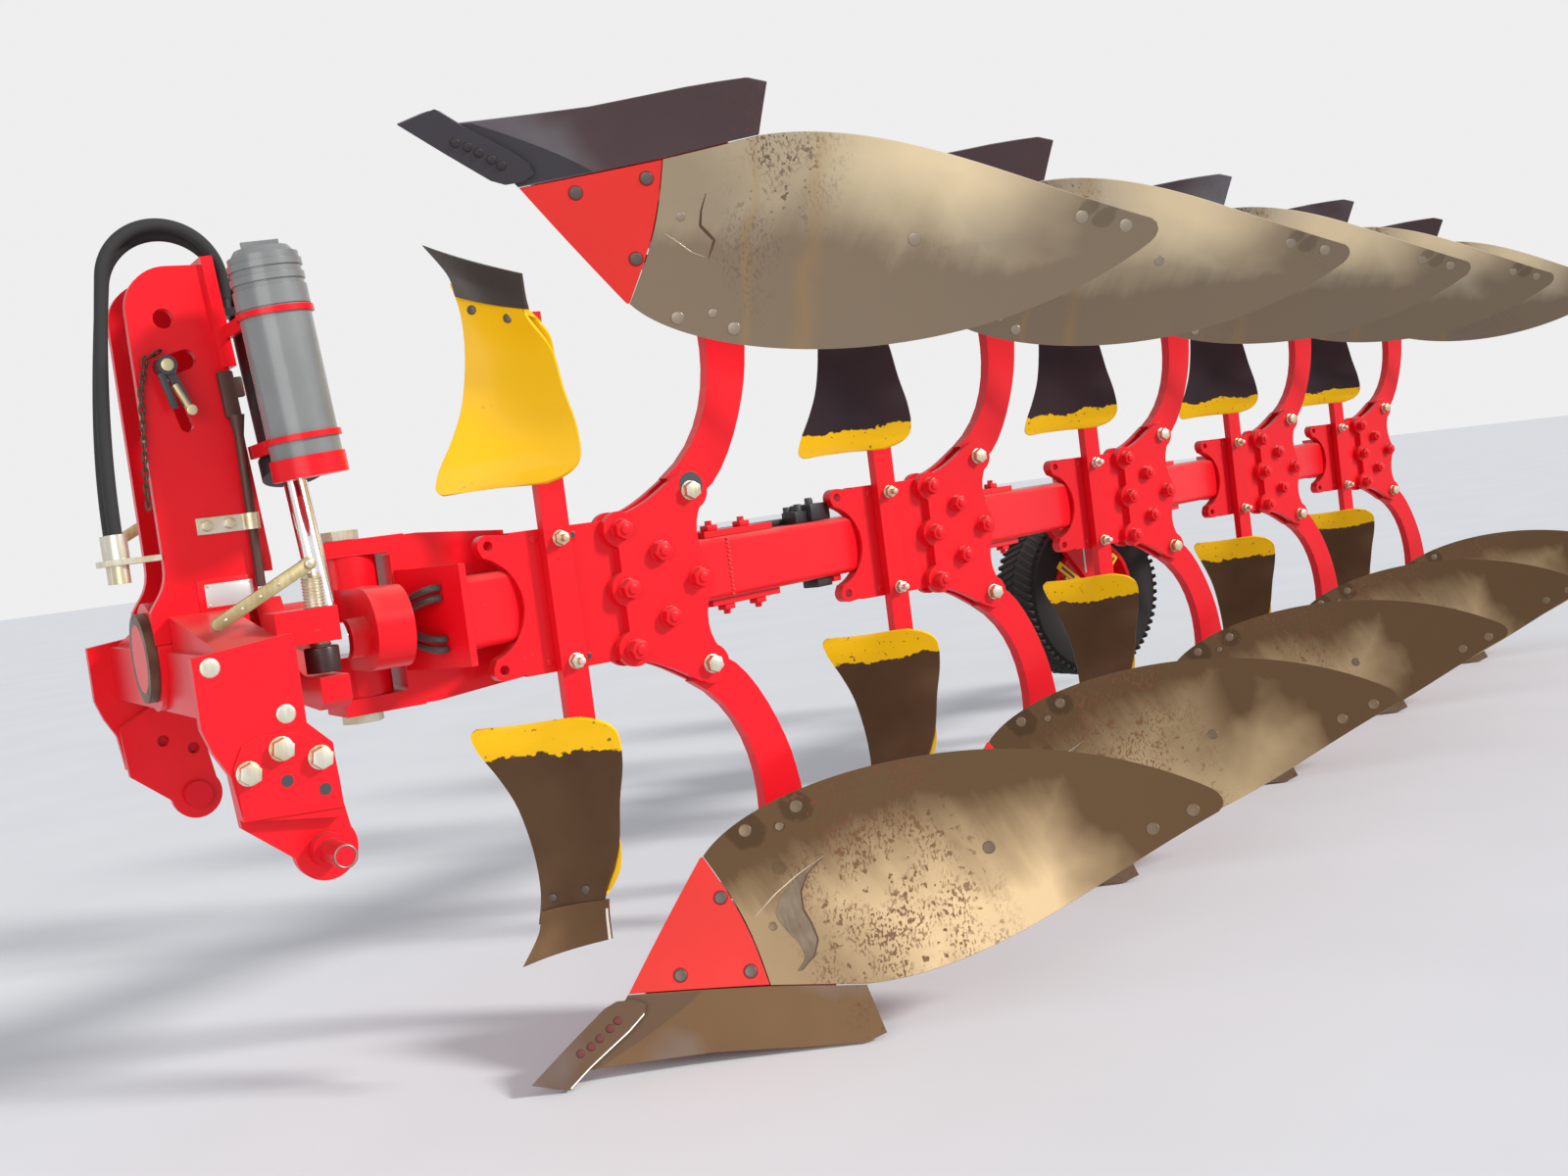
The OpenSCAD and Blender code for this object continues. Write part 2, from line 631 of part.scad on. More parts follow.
// Tube for papers and small tools behind the tower, leaning a little forward
tube_foot = [-737, -85, 272];
tube_lean = -4.5;
tube_len = 358;
tube_r = 57;
cap_len = 88;
module along_tube() {
  translate(tube_foot) rotate([0, tube_lean, 0]) children();
}
module tool_tube() {
  color(dark) in_place() along_tube() {
    cylinder(h = tube_len - cap_len, r = tube_r);
    translate([0, 0, tube_len - cap_len - 1]) cylinder(h = 31, r = tube_r + 2);
    for (i = [0:4]) translate([0, 0, tube_len - cap_len + 28 + i * 11])
      cylinder(h = 11.01, r = tube_r + (i % 2 == 0 ? -1 : 2));
    translate([0, 0, tube_len - 7]) cylinder(h = 14, r1 = tube_r - 4, r2 = tube_r - 14);
    translate([-30, -4, tube_len]) cube([60, 8, 20]);
  }
}
ring_zs = [52, 256];
ring_plate_ends = [157, 136];
module tube_rings() {
  color(red) in_place() {
    along_tube() difference() {
      union() {
        for (z = ring_zs) translate([0, 0, z]) cylinder(h = 10, r = tube_r + 5);
        translate([0, 0, -8]) cylinder(h = 34, r = tube_r + 4);
        for (i = [0, 1]) translate([-51, 32, ring_zs[i] - 10]) cube([10, ring_plate_ends[i] - 32, 22]);
      }
      cylinder(h = tube_len, r = tube_r + 0.2);
    }
  }
}

// Turnover cylinder: barrel hung in the tower, rod down to the crank
cyl_x = -731;
cyl_pin_x0 = -805;
cyl_top = [cyl_x, turn_y, 612];
cyl_low = [cyl_x, crank_y, -10];
cyl_lean = atan2(cyl_top[1] - cyl_low[1], cyl_top[2] - cyl_low[2]);
barrel_r = 46;
rod_r = 20;
barrel_len = 350;
cyl_len = norm(cyl_top - cyl_low);
module along_cylinder() {
  translate(cyl_top) rotate([-cyl_lean, 0, 0]) mirror([0, 0, 1]) children();
}
ports = [[-790, 92], [-783, 117]];
port_top_z = 585;
module turn_barrel() {
  color(dark) in_place() {
    along_cylinder() difference() {
      union() {
        translate([0, 0, 24]) cylinder(h = barrel_len - 24, r = barrel_r);
        translate([0, 0, barrel_len - 30]) cylinder(h = 34, r = barrel_r + 6);
        translate([0, 0, -28]) cylinder(h = 58, r = 30);
      }
      translate([0, 0, 130]) cylinder(h = 400, r = rod_r + 0.06);
    }
    long_bar(turn_y, cyl_top[2], cyl_pin_x0, cyl_x + 34, 20);
    // Ports on the barrel's front side
    for (p = ports) {
      translate([p[0] - 12, p[1] - 12, port_top_z - 29]) cube([62, 24, 14]);
      translate([p[0], p[1], port_top_z - 20]) cylinder(h = 20, r = 10);
    }
  }
}
module turn_rod() {
  color(zinc) in_place() {
    along_cylinder() translate([0, 0, 180]) cylinder(h = cyl_len - 180 - 10, r = rod_r);
    long_bar(crank_y, cyl_low[2], cyl_x - 22, cyl_x + 18, 31);
  }
}

// Dark steady bar beside the tower's near plate, held by a zinc clamp
bar_x = -809;
bar_y = turn_y - tower_half - 9;
bar_r = 8;
module steady_bar() {
  color(dark) in_place() {
    translate([bar_x, bar_y, 96]) cylinder(h = 290, r = bar_r);
    translate([bar_x - 14, bar_y - bar_r, 380]) cube([30, 2 * bar_r, 80]);
  }
}
clamp_z = 193;
clamp_h = 28;
module bar_clamps() {
  color(zinc) in_place() {
    side_plate(turn_y - tower_half - 5, 5) translate([-898, clamp_z]) square([78, clamp_h]);
    difference() {
      translate([bar_x, bar_y, clamp_z]) cylinder(h = clamp_h, r = bar_r + 5);
      translate([bar_x, bar_y, clamp_z - 1]) cylinder(h = clamp_h + 2, r = bar_r + 0.2);
      translate([bar_x - 60, turn_y - tower_half, clamp_z - 1]) cube([120, 60, clamp_h + 2]);
    }
  }
}

// Brackets that hold the threaded stop spindles, one for each working side
bracket_z0 = 2;
bracket_z1 = 56;
far_stop_up = 156;
module stop_bracket() {
  color(red) in_place() for (s = [-1, 1]) translate([0, turn_y, s > 0 ? far_stop_up : 0]) difference() {
    union() {
      mirror([0, s > 0 ? 1 : 0, 0]) translate([box_x1, stop_y - turn_y - 30, bracket_z0])
        cube([stop_x + 26 - box_x1, 70, bracket_z1 - bracket_z0]);
      mirror([0, s > 0 ? 1 : 0, 0]) translate([box_x1, stop_y - turn_y - 30, s > 0 ? -far_stop_up - 44 : -44])
        cube([16, 70, s > 0 ? far_stop_up + 48 : 48]);
    }
    translate([stop_x, s * (turn_y - stop_y), -20]) cylinder(h = 100, r = spindle_r);
  }
}
spindle_r = 17;
module tilt_spindles() {
  color(zinc) in_place() for (s = [-1, 1])
    translate([stop_x, turn_y + s * (turn_y - stop_y), s > 0 ? far_stop_up : 0]) {
    translate([0, 0, -30]) cylinder(h = 140, r = spindle_r);
    translate([0, 0, -46]) cylinder(h = 40, r = 27);
    translate([0, -s * 26, 120]) rotate([0, -25, 0]) translate([-150, -5, -10]) cube([165, 10, 20]);
    translate([0, -s * 32, 116]) rotate([90, 0, 0]) cylinder(h = 30, r = 11, center = true);
  }
}

// Two hoses from the cylinder over the tower's top to parked couplings on the headstock
hose_r = 11;
arch_step = 9;
slope_steps = 12;
// Rise from the port, bend over the tower's top about mid, and slope down to the foot
function hose_route(mid, r, ys, foot) = let (end = 180 - arch_step,
  x0 = mid[0] + r * cos(end), z0 = mid[1] + r * sin(end)) concat([[mid[0] + r, ys[0], port_top_z + 0.3]],
  [for (a = [0:arch_step:end]) [mid[0] + r * cos(a), mix(ys[0], ys[1], a / end), mid[1] + r * sin(a)]],
  [for (i = [1:slope_steps]) let (t = i / slope_steps)
    [mix(x0, foot[0], sin(90 * t)), mix(ys[1], foot[1], ease(t)), mix(z0, foot[2], t)]]);
left_route = hose_route([-886, 618], 96, [92, 92], [-1022, 76, 211]);
right_route = hose_route([-880, 606], 97, [117, 127], [-1022, 126, 211]);
module hose_left() {
  color(dark) in_place() swept_tube(left_route, hose_r);
}
module hose_right() {
  color(dark) in_place() swept_tube(right_route, hose_r);
}
module hose_holder() {
  color(zinc) in_place() {
    translate([-1046, 55, 160]) cube([87, 102, 10]);
    for (y = [76, 126]) {
      translate([-1022, y, 169]) cylinder(h = 41.5, r = 17);
      translate([-1022, y, 130]) cylinder(h = 31, r = 14);
    }
  }
}

// Depth wheel: bracket on the beam, swinging arm and wheel
wheel_at = [2268, 1500, -325];
arm_pivot = [2033, 0];
arm_t = 24;
arm_y = wheel_at[1] - wheel_w / 2 - 50;
pivot_r = 25;
axle_r = 20;
module wheel_bracket() {
  color(red) in_place() {
    translate([0, 0, -50]) linear_extrude(100) polygon([[arm_pivot[0] - 50, beam_far_y(arm_pivot[0] - 50) + seat],
      [arm_pivot[0] + 50, beam_far_y(arm_pivot[0] + 50) + seat], [arm_pivot[0] + 50, arm_y - 8],
      [arm_pivot[0] - 50, arm_y - 8]]);
    cross_bar(arm_pivot[0], arm_pivot[1], arm_y - 9, arm_y + arm_t + 16, pivot_r - 0.06);
  }
}
module wheel_arm() {
  color(red) in_place() {
    side_plate(arm_y, arm_t) difference() {
      hull() {
        translate(arm_pivot) circle(48);
        translate([wheel_at[0], wheel_at[2]]) circle(38);
      }
      translate(arm_pivot) circle(pivot_r);
    }
    cross_bar(wheel_at[0], wheel_at[2], arm_y + arm_t - 2, wheel_at[1] + 62, axle_r - 0.06);
  }
}
module wheel_rim() {
  color(red) in_place() translate(wheel_at) rotate([90, 0, 0]) rotate_extrude()
    polygon([[axle_r, -48], [46, -48], [46, -12], [150, -6], [158, -84], [172, -84], [172, 84], [158, 84],
      [150, 6], [46, 10], [46, 56], [axle_r, 56]]);
}
module wheel_tyre() {
  color(dark) in_place() translate(wheel_at) rotate([90, 0, 0]) rotate_extrude()
    polygon([[172, -80], [190, -92], [220, -100], [262, -96], [wheel_r, -76], [wheel_r, 76],
      [262, 96], [220, 100], [190, 92], [172, 80]]);
}

tower();
hub_housing();
cross_box();
cheeks();
hitch_plates();
hitch_pins();
top_pin();
tool_tube();
tube_rings();
turn_barrel();
turn_rod();
steady_bar();
bar_clamps();
stop_bracket();
tilt_spindles();
hose_holder();
hose_left();
hose_right();
turn_shaft();
lock_nut();
swing_pin();
fork();
beam();
beam_flange();
beam_clamps();
beam_hoses();
consoles();
legs();
landsides();
boards();
shins();
shares();
skimmer_stalks();
skimmer_boards();
skimmer_blades();
wheel_bracket();
wheel_arm();
wheel_rim();
wheel_tyre();
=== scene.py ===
"""Mounted reversible mouldboard plough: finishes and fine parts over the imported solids."""

import logging
import math
from dataclasses import dataclass
from enum import Enum
from typing import Callable, Sequence

import bmesh
import bpy
from mathutils import Matrix, Vector


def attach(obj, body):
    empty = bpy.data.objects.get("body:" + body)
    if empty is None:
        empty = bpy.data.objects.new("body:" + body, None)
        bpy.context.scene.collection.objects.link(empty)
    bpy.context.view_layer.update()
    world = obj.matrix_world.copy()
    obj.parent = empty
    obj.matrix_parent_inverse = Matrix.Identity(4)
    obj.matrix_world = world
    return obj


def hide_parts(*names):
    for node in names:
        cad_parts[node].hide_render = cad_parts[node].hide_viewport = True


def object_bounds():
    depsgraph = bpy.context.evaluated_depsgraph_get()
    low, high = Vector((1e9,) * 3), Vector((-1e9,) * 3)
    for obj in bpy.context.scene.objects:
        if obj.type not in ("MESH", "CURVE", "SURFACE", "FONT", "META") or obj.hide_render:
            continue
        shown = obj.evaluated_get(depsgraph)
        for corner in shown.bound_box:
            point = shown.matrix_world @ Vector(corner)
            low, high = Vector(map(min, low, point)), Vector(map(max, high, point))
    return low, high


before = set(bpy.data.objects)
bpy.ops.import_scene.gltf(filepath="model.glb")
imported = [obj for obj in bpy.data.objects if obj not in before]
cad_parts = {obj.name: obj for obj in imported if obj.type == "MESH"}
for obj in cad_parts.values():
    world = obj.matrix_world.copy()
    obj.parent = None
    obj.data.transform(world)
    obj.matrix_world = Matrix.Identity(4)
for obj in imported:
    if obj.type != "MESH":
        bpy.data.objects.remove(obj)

logging.basicConfig(level=logging.INFO, format="%(message)s")
LOG = logging.getLogger("plough")

Point = tuple[float, float, float]
Pair = tuple[float, float]
Socket = bpy.types.NodeSocket
Mesh = bmesh.types.BMesh
Verts = Sequence[bmesh.types.BMVert]

# Box of the solids, and how far inside it the bent sheets stay, in metres.
CAD_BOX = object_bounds()
BOX_MARGIN = 1e-4
# Drawing place of the frame's origin, in millimetres.
MIDDLE = (1875.0, 709.0, -878.0)
# Bodies: how many pairs, and the step along and across from one to the next, in millimetres.
BODY_COUNT = 5
BODY_PITCH = 1020.0
FURROW = 400.0
# Beam: its slant, and where its middle crosses the first console's face.
SLANT = math.atan2(FURROW, BODY_PITCH)
BEAM_X = -400.0
# Sideways place of the turnover shaft.
TURN_Y = 150.0
NEAR, FAR, UP = Vector((0, -1, 0)), Vector((0, 1, 0)), Vector((0, 0, 1))
UPRIGHT = Matrix.Rotation(math.radians(90), 4, "X")


def mm(length: float | Vector) -> float | Vector:
    """Millimetres as metres."""
    return length / 1000


def at(x: float, y: float, z: float) -> Vector:
    """Turns drawing millimetres into the frame's metres.

    Args:
        x: Millimetres behind the first leg bolt.
        y: Millimetres from the first console's face, away from the camera.
        z: Millimetres above the beam's middle.

    Returns:
        The point in the frame.
    """
    return Vector((mm(x - MIDDLE[0]), mm(y - MIDDLE[1]), mm(z - MIDDLE[2])))


def beside(k: int, x: float, y: float, z: float) -> Vector:
    """Point beside body k in frame metres, from its place beside the first body."""
    return at(x + k * BODY_PITCH, y + k * FURROW, z)


def on_body(k: int, upper: bool, x: float, y: float, h: float) -> Vector:
    """Point of body k in frame metres, h millimetres below the beam or above it."""
    return beside(k, x, y, h if upper else -h)


def on_beam(along: float, out: float, z: float, k: int = 0) -> Vector:
    """Point in frame metres by its place along the beam.

    Args:
        along: Millimetres along the beam, from its crossing at body k.
        out: Millimetres out from its near face.
        z: Millimetres above its middle.
        k: Number of the body.

    Returns:
        The point in the frame.
    """
    c, d = math.cos(SLANT), math.sin(SLANT)
    return beside(k, BEAM_X + along * c + out * d, along * d - out * c, z)


def mix(a: float, b: float, t: float) -> float:
    """Value between two others."""
    return a + (b - a) * t


def blend(a: Sequence[float], b: Sequence[float], t: float) -> tuple[float, ...]:
    """Point between two others."""
    return tuple(mix(p, q, t) for p, q in zip(a, b))


def step_of(count: int, share: float) -> tuple[int, float]:
    """Number of the step that a share of the whole falls in, and the share of that step."""
    i = min(int(share * count), count - 1)
    return i, share * count - i


def curve(points: Sequence[Sequence[float]], t: float) -> tuple[float, ...]:
    """Point of a cubic curve with the four points given."""
    w = ((1 - t) ** 3, 3 * t * (1 - t) ** 2, 3 * t * t * (1 - t), t**3)
    return tuple(sum(w[i] * points[i][c] for i in range(4)) for c in range(len(points[0])))


class Body(Enum):
    """Moving bodies that take new pieces."""

    HEADSTOCK = "headstock"
    PLOUGH = "plough_frame"
    ARM = "wheel_arm"
    WHEEL = "depth_wheel"


class Side(Enum):
    """Sets of plough bodies: the lower one of each pair is False, the upper one True."""

    LOWER = (False,)
    UPPER = (True,)
    BOTH = (False, True)

    def bodies(self) -> list[tuple[int, bool]]:
        """Number of each body in the set, and whether it is an upper one."""
        return [(k, upper) for k in range(BODY_COUNT) for upper in self.value]


class Tree:
    """Short way to add and join shader nodes in one tree."""

    def __init__(self, tree: bpy.types.NodeTree) -> None:
        """Keeps the tree that the nodes go into."""
        self.tree = tree

    def add(self, kind: str, settings: dict | None = None, **sockets: object) -> bpy.types.Node:
        """Adds a node.

        Args:
            kind: Node type without its ShaderNode prefix.
            settings: Properties set on the node.
            sockets: Values or outputs for its inputs, by name with underscores for spaces, or by number as _0.

        Returns:
            The new node.
        """
        node = self.tree.nodes.new("ShaderNode" + kind)
        for key, value in (settings or {}).items():
            setattr(node, key, value)
        for key, value in sockets.items():
            socket = node.inputs[int(key[1:])] if key[0] == "_" else node.inputs[key.replace("_", " ")]
            if isinstance(value, Socket):
                self.tree.links.new(value, socket)
            else:
                socket.default_value = value
        return node

    def join(self, source: Socket, node: bpy.types.Node, name: str) -> None:
        """Joins an output to a named input."""
        self.tree.links.new(source, node.inputs[name])

    def math(self, operation: str, *values: object) -> Socket:
        """Adds a math node and returns its output."""
        return self.add("Math", {"operation": operation}, **{f"_{i}": v for i, v in enumerate(values)}).outputs[0]

    def times(self, first: object, *others: object) -> Socket:
        """Multiplies values, in order.

        Args:
            first: Value or output.
            others: What it is multiplied by.

        Returns:
            Output with the product.
        """
        for other in others:
            first = self.math("MULTIPLY", first, other)
        return first

    def plus(self, a: object, b: object) -> Socket:
        """Adds two values."""
        return self.math("ADD", a, b)

    def most(self, a: object, b: object) -> Socket:
        """Takes the larger of two values."""
        return self.math("MAXIMUM", a, b)

    def mix(self, factor: object, a: object, b: object) -> Socket:
        """Mixes two colours and returns the result."""
        return self.add("Mix", {"data_type": "RGBA"}, _0=factor, _6=a, _7=b).outputs[2]

    def span(self, value: object, low: object, high: object, a: float = 0.0, b: float = 1.0) -> Socket:
        """Maps a value from one range to another and returns the result."""
        return self.add("MapRange", _0=value, _1=low, _2=high, _3=a, _4=b).outputs[0]

    def sway(self, noise: Socket, reach: float) -> Socket:
        """Turns a noise into a shift of up to some reach to both sides."""
        return self.span(noise, 0.3, 0.7, -reach, reach)

    def between(self, value: Socket, low: float, high: float, soft: tuple[float, ...]) -> Socket:
        """Masks the values between two limits.

        Args:
            value: Value that is tested.
            low: Lower limit.
            high: Upper limit.
            soft: Width of the soft edge before and after each of the two limits.

        Returns:
            The mask.
        """
        rise = self.span(value, low - soft[0], low + soft[1])
        return self.times(rise, self.span(value, high - soft[2], high + soft[3], 1.0, 0.0))

    def place(self) -> Socket:
        """Object coordinates."""
        return self.add("TexCoord").outputs["Object"]

    def uv(self, name: str) -> Socket:
        """Coordinates of a UV map."""
        return self.add("UVMap", {"uv_map": name}).outputs[0]

    def part(self, vector: Socket, axis: str) -> Socket:
        """One coordinate of a vector."""
        return self.add("SeparateXYZ", Vector=vector).outputs[axis]

    def stretched(self, place: Socket, scale: object) -> Socket:
        """Coordinates scaled along their three axes."""
        return self.add("Mapping", Vector=place, Scale=scale).outputs[0]

    def noise(self, place: Socket, scale: object, detail: object, **others: float) -> Socket:
        """Adds a noise and returns its value."""
        return self.add("TexNoise", Vector=place, Scale=scale, Detail=detail, **others).outputs[0]


def rgba(colour: Sequence[float], shade: float = 1.0) -> tuple[float, ...]:
    """Makes a colour darker or lighter and adds a full alpha."""
    return (*(min(1.0, v * shade) for v in colour), 1.0)


@dataclass(frozen=True)
class Group:
    """Shader node group that materials share; fill adds its nodes and returns its output."""

    name: str
    inputs: dict[str, float]
    output: str
    fill: Callable[[Tree, bpy.types.Node], Socket]

    def tree(self) -> bpy.types.NodeTree:
        """Makes the group at its first use, or finds it.

        Returns:
            The node group.
        """
        found = bpy.data.node_groups.get(self.name)
        if found:
            return found
        made = bpy.data.node_groups.new(self.name, "ShaderNodeTree")
        for key, value in self.inputs.items():
            made.interface.new_socket(key, in_out="INPUT", socket_type="NodeSocketFloat").default_value = value
        made.interface.new_socket(self.output, in_out="OUTPUT", socket_type="NodeSocketFloat")
        t = Tree(made)
        given, out = made.nodes.new("NodeGroupInput"), made.nodes.new("NodeGroupOutput")
        t.join(self.fill(t, given), out, self.output)
        return made

    def put(self, t: Tree, **sockets: object) -> Socket:
        """Places the group in a tree and returns its output."""
        return t.add("Group", {"node_tree": self.tree()}, **sockets).outputs[0]


def patches_nodes(t: Tree, given: bpy.types.Node) -> Socket:
    """Cloudy patches on Object coordinates.

    Args:
        t: Tree of the group.
        given: Its input node.

    Returns:
        The mask.
    """
    size = t.add("CombineXYZ", X=given.outputs["Stretch"], Y=1.0, Z=1.0).outputs[0]
    noise = t.noise(t.stretched(t.place(), size), given.outputs["Scale"], given.outputs["Detail"])
    return t.add("MapRange", _0=noise, _1=given.outputs["Low"], _2=given.outputs["High"]).outputs[0]


def dust_nodes(t: Tree, given: bpy.types.Node) -> Socket:
    """Dust that lies on faces that look up.

    Args:
        t: Tree of the group.
        given: Its input node.

    Returns:
        The mask.
    """
    lying = t.span(t.part(t.add("NewGeometry").outputs["Normal"], "Z"), 0.15, 0.95)
    cloud = t.span(t.noise(t.place(), given.outputs["Scale"], 6.0), 0.35, 0.75, 0.25, 1.0)
    return t.times(lying, cloud, given.outputs["Amount"])


def relief_nodes(t: Tree, given: bpy.types.Node) -> Socket:
    """Fine relief from two sizes of noise.

    Args:
        t: Tree of the group.
        given: Its input node.

    Returns:
        The height.
    """
    place, scale = t.place(), given.outputs["Scale"]
    broad = t.noise(place, t.times(scale, 0.08), 3.0)
    return t.plus(t.noise(place, scale, 2.0), t.times(broad, 1.6))


def spots_nodes(t: Tree, given: bpy.types.Node) -> Socket:
    """Round soft-edged spot on the plates' own map in metres.

    Args:
        t: Tree of the group.
        given: Its input node.

    Returns:
        The mask.
    """
    spot = t.uv("spot")
    wobble = t.noise(spot, 60.0, 4.0)
    middle = t.add("CombineXYZ", X=given.outputs["X"], Y=given.outputs["Depth"]).outputs[0]
    away = t.add("VectorMath", {"operation": "DISTANCE"}, _0=spot, _1=middle).outputs["Value"]
    ratio = t.math("DIVIDE", away, given.outputs["Radius"])
    return t.span(t.plus(ratio, t.span(wobble, 0.2, 0.8, -0.14, 0.14)), 0.86, 1.04, 1.0, 0.0)


PATCHES = Group(
    "patches", {"Scale": 5.0, "Detail": 4.0, "Low": 0.4, "High": 0.6, "Stretch": 1.0}, "Mask", patches_nodes
)
DUST = Group("dust", {"Amount": 0.5, "Scale": 9.0}, "Mask", dust_nodes)
RELIEF = Group("relief", {"Scale": 200.0}, "Height", relief_nodes)
SPOTS = Group("spots", {"X": 0.0, "Depth": 0.6, "Radius": 0.03}, "Mask", spots_nodes)


@dataclass(frozen=True)
class Finish:
    """One finish: its name, a slot name that is not used, and its main values."""

    name: str
    slot: str
    colour: Point
    roughness: float = 0.4
    metallic: float = 0.0
    coat: float = 0.0
    coat_roughness: float = 0.12
    grain: float = 220.0
    grain_depth: float = 0.0001
    specular: float = 0.4

    def material(self) -> bpy.types.Material:
        """Makes the finish's material at its first use, or finds it.

        Returns:
            The material.
        """
        found = bpy.data.materials.get(self.name)
        if found:
            return found
        made = bpy.data.materials.new(self.name)
        made.use_nodes = True
        shader = made.node_tree.nodes["Principled BSDF"]
        for socket, value in (
            ("Metallic", self.metallic), ("Roughness", self.roughness), ("Coat Weight", self.coat),
            ("Coat Roughness", self.coat_roughness), ("Specular IOR Level", self.specular),
        ):
            shader.inputs[socket].default_value = value
        self.paint(Tree(made.node_tree), shader)
        return made

    def bump(
        self, t: Tree, shader: bpy.types.Node, height: Socket | None = None, round_edges: float = 0.0015
    ) -> None:
        """Adds softly rounded edges and fine relief to the surface.

        Args:
            t: Tree of the material.
            shader: Its main shader node.
            height: Height to use in place of the plain relief.
            round_edges: Radius of the rounded edges in metres.
        """
        source = height or RELIEF.put(t, Scale=self.grain)
        bump = t.add("Bump", Strength=0.6, Distance=self.grain_depth, Height=source)
        if round_edges:
            t.join(t.add("Bevel", {"samples": 4}, Radius=round_edges).outputs[0], bump, "Normal")
        t.join(bump.outputs[0], shader, "Normal")

    def paint(self, t: Tree, shader: bpy.types.Node) -> None:
        """Joins the finish's colours to the shader, with a plain mottle.

        Args:
            t: Tree of the material.
            shader: Its main shader node.
        """
        cloud = PATCHES.put(t, Scale=7.0, Low=0.35, High=0.7)
        t.join(t.mix(cloud, rgba(self.colour), rgba(self.colour, 0.78)), shader, "Base Color")
        rough = t.span(cloud, 0.0, 1.0, self.roughness * 0.85, min(1.0, self.roughness * 1.2))
        t.join(rough, shader, "Roughness")
        self.bump(t, shader)


@dataclass(frozen=True)
class Paint(Finish):
    """Gloss coat with road dust, faint streaks and small chips."""

    specular: float = 0.2
    dust: float = 0.25
    dust_colour: Point = (0.36, 0.27, 0.20)
    chips: float = 0.5
    under: Point = (0.10, 0.075, 0.06)

    def paint(self, t: Tree, shader: bpy.types.Node) -> None:
        """Joins the coat, its chips and the dust to the shader.

        Args:
            t: Tree of the material.
            shader: Its main shader node.
        """
        cloud = PATCHES.put(t, Scale=2.2, Low=0.3, High=0.75)
        base = t.mix(cloud, rgba(self.colour), rgba(self.colour, 0.82))
        chip_field = PATCHES.put(t, Scale=95.0, Detail=3.0, Low=0.70, High=0.72)
        chip_zone = PATCHES.put(t, Scale=6.0, Detail=2.0, Low=0.54, High=0.62)
        base = t.mix(t.times(chip_field, chip_zone, self.chips), base, rgba(self.under))
        dusty = DUST.put(t, Amount=self.dust, Scale=9.0)
        t.join(t.mix(dusty, base, rgba(self.dust_colour)), shader, "Base Color")
        rough = t.plus(t.span(cloud, 0, 1, self.roughness, self.roughness + 0.12), t.times(dusty, 0.5))
        t.join(t.math("MINIMUM", rough, 0.95), shader, "Roughness")
        self.bump(t, shader)


